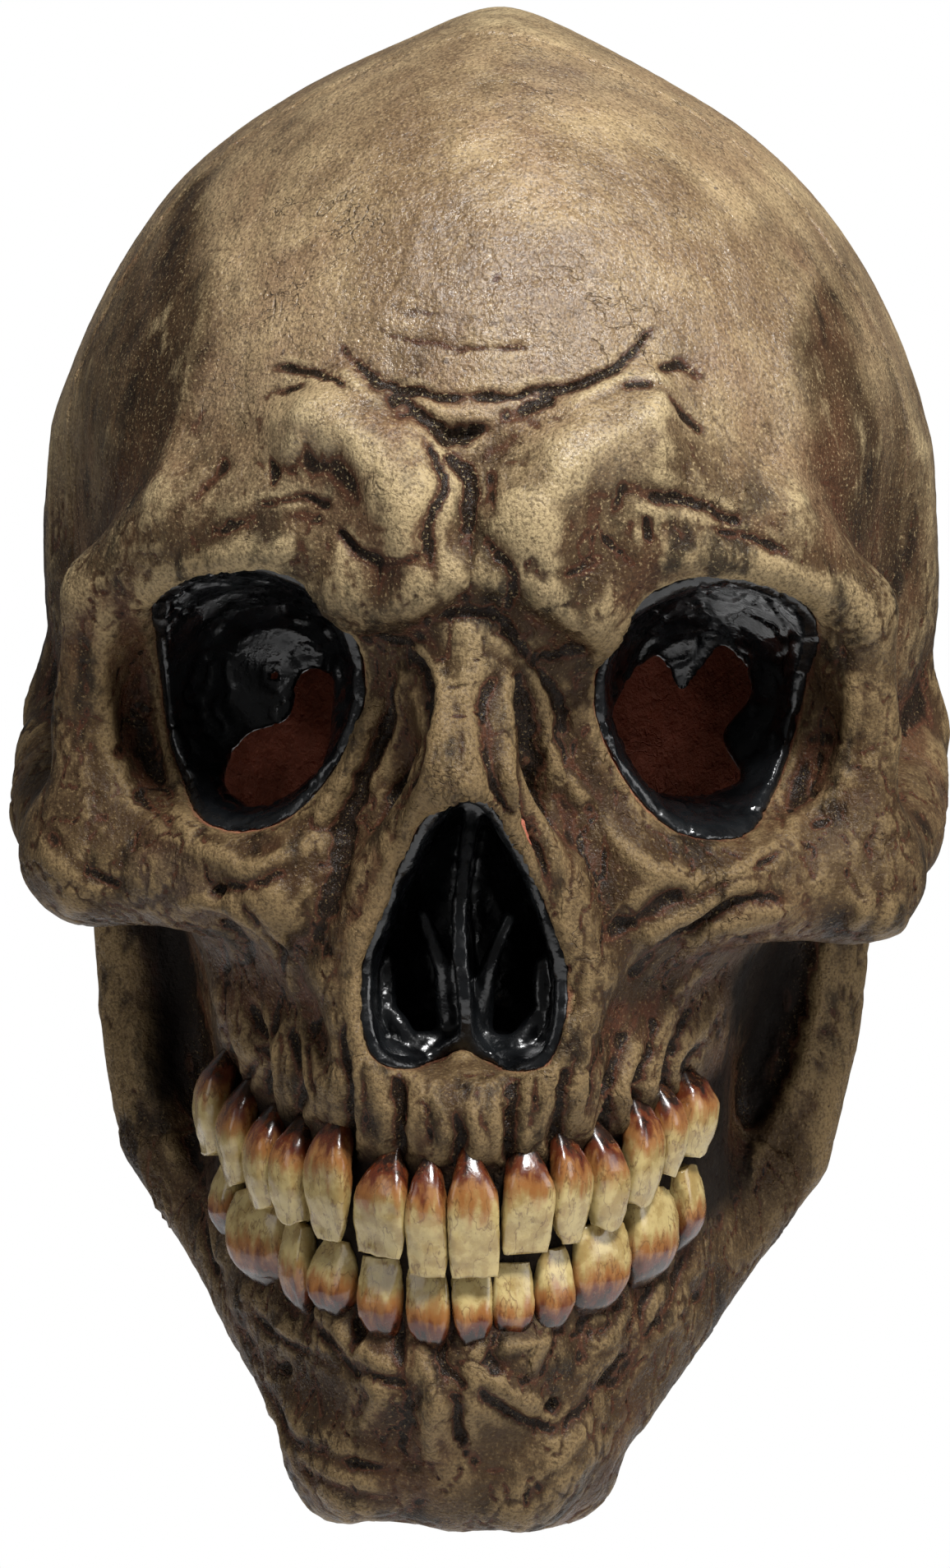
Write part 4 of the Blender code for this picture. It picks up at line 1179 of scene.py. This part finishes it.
def gauze_material():
    n = Nodes("seam_gauze")
    threads = []
    for direction in ("X", "Z"):
        node = n.tree.nodes.new("ShaderNodeTexWave")
        node.bands_direction = direction
        node.inputs["Scale"].default_value = 260.0
        node.inputs["Distortion"].default_value = 0.8
        n.link(n.place, node.inputs["Vector"])
        threads.append(node.outputs["Fac"])
    weave = n.maths("MAXIMUM", *threads)
    colour = n.mix(weave, (0.11, 0.05, 0.035), (0.42, 0.30, 0.22))
    colour = n.mix(n.window(n.noise(90.0), 0.4, 0.7, 0.0, 0.5), colour, INNER_LATEX)
    gloss = n.window(n.noise(300.0), 0.3, 0.7, 0.75, 0.95)
    return n.finish(colour, gloss, n.bump(weave, 0.7, 0.0005))


def foam_material():
    n = Nodes("open_cell_foam")
    cells = n.voronoi(900.0)
    colour = n.mix(n.window(cells, 0.1, 0.6), (0.012, 0.012, 0.014), (0.085, 0.085, 0.092))
    colour = n.mix(n.window(n.noise(60.0), 0.4, 0.7, 0.0, 0.4), colour, (0.13, 0.12, 0.11))
    gloss = n.window(cells, 0.1, 0.6, 0.85, 1.0)
    return n.finish(colour, gloss, n.bump(cells, 0.8, 0.0008))


def stage_material():
    n = Nodes("pale_floor")
    colour = n.mix(n.noise(3.0), (0.80, 0.80, 0.80), (0.84, 0.84, 0.84))
    gloss = n.window(n.noise(5.0), 0.3, 0.7, 0.75, 0.9)
    return n.finish(colour, gloss, n.bump(n.noise(40.0), 0.02, 0.001),
                    Emission_Color=(1.0, 1.0, 1.0, 1.0), Emission_Strength=0.3)


# ---- studio ----
VIEW_TARGET = Vector((0.0, -0.020, -0.137))
VIEW_DISTANCE = 1.3
VIEW_AZIMUTH, VIEW_ELEVATION, VIEW_ROLL = (math.radians(angle) for angle in (1.8, 6.0, 1.2))
VIEW_SHIFT = -0.0042
FRAME_HEIGHT = 0.3484           # height of the picture at the target, metres
SENSOR = 36.0
AMBIENT = 0.10                  # the world lights the mask less than it shows the lens
LIGHT_AIM = Vector((0, 0, -0.12))
LIGHTS = (                      # name, place, size and power
    ("key_softbox", (0.50, -1.00, 1.50), 0.45, 60),
    ("fill_left", (-1.5, -1.0, 0.5), 0.9, 4),
    ("fill_right", (1.6, -0.7, 0.4), 0.9, 9),
)
FLOOR_HALF, FLOOR_Z = 1.5, -0.75


def make_camera():
    camera = bpy.data.cameras.new("camera")
    holder = bpy.data.objects.new("camera", camera)
    bpy.context.collection.objects.link(holder)
    back = Vector((math.sin(VIEW_AZIMUTH) * math.cos(VIEW_ELEVATION),
                   -math.cos(VIEW_AZIMUTH) * math.cos(VIEW_ELEVATION), math.sin(VIEW_ELEVATION)))
    holder.location = VIEW_TARGET + back * VIEW_DISTANCE
    turn = (-back).to_track_quat("-Z", "Y").to_matrix() @ Matrix.Rotation(VIEW_ROLL, 3, "Z")
    holder.rotation_euler = turn.to_euler()
    camera.sensor_width = SENSOR
    camera.sensor_fit = "VERTICAL"
    camera.sensor_height = SENSOR
    camera.lens = SENSOR * VIEW_DISTANCE / FRAME_HEIGHT
    camera.shift_x = VIEW_SHIFT
    camera.clip_start = 0.05
    bpy.context.scene.camera = holder


def make_light(name, place, size, power):
    light = bpy.data.lights.new(name, "AREA")
    light.size = size
    light.energy = power
    holder = bpy.data.objects.new(name, light)
    bpy.context.collection.objects.link(holder)
    holder.location = place
    holder.rotation_euler = (LIGHT_AIM - Vector(place)).to_track_quat("-Z", "Y").to_euler()


def make_studio():
    make_camera()
    for light in LIGHTS:
        make_light(*light)
    world = bpy.data.worlds.new("soft_white")
    world.use_nodes = True
    tree = world.node_tree
    backdrop, ambient = tree.nodes["Background"], tree.nodes.new("ShaderNodeBackground")
    for node, strength in ((backdrop, 1.0), (ambient, AMBIENT)):
        node.inputs[0].default_value = (1.0, 1.0, 1.0, 1.0)
        node.inputs[1].default_value = strength
    choice = tree.nodes.new("ShaderNodeMixShader")
    tree.links.new(tree.nodes.new("ShaderNodeLightPath").outputs["Is Camera Ray"], choice.inputs[0])
    tree.links.new(ambient.outputs[0], choice.inputs[1])
    tree.links.new(backdrop.outputs[0], choice.inputs[2])
    tree.links.new(choice.outputs[0], tree.nodes["World Output"].inputs[0])
    bpy.context.scene.world = world
    bpy.context.scene.view_settings.view_transform = "Standard"
    corners = [(x * FLOOR_HALF, y * FLOOR_HALF, FLOOR_Z)
               for x, y in ((-1, -1), (1, -1), (1, 1), (-1, 1))]
    mesh = bpy.data.meshes.new("floor")
    mesh.from_pydata(corners, [], [(0, 1, 2, 3)])
    mesh.materials.append(stage_material())
    floor = bpy.data.objects.new("floor", mesh)
    bpy.context.collection.objects.link(floor)


def blend_flap(piece, word):
    """Shows the flap in place of its CAD node, with its placement baked into the mesh."""
    side = 1 if word == "left" else -1
    joint = next(j for j in frame["joints"] if j["name"] == f"slit_flap_{word}_fold")
    axis = Vector(joint["axis"]).normalized()
    inward = Vector((-side, 0.0, 0.0))
    inward = (inward - axis * inward.dot(axis)).normalized()
    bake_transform(piece)
    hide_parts(f"slit_flap_{word}")


def main():
    make_studio()
    bone, cup = bone_material(), cup_material()
    relief = sculpt()
    orbits = {"left": Outline([(x + LEFT_ORBIT_OUT, z) for x, z in ORBIT]),
              "right": Outline([(-x, z) for x, z in ORBIT])}
    nostril = Outline(NOSTRIL)
    openings = ((orbits["left"], ORBIT_STATIONS, 1), (orbits["right"], ORBIT_STATIONS, -1),
                (nostril, NOSE_STATIONS, 1))
    stand_in(make_face(relief, openings, bone), "face_skin")
    stand_in(make_rear(relief, bone), "rear_skin")
    for word in ("left", "right"):
        blend_flap(make_flap(word, relief, bone), word)
    for word, corners in (("left", VISION_LEFT), ("right", VISION_RIGHT)):
        stand_in(make_eye_cup(word, orbits[word], Outline(corners), cup), f"eye_socket_cup_{word}")
    stand_in(make_nasal_cup(nostril, cup), "nasal_cavity_cup")
    make_teeth(tooth_material())
    pad = make_pad(foam_material())
    stand_in(pad, "crown_foam_pad")
    gauze = gauze_material()
    for word in ("left", "right"):
        stand_in(make_tape(word, gauze), f"seam_tape_{word}")


main()
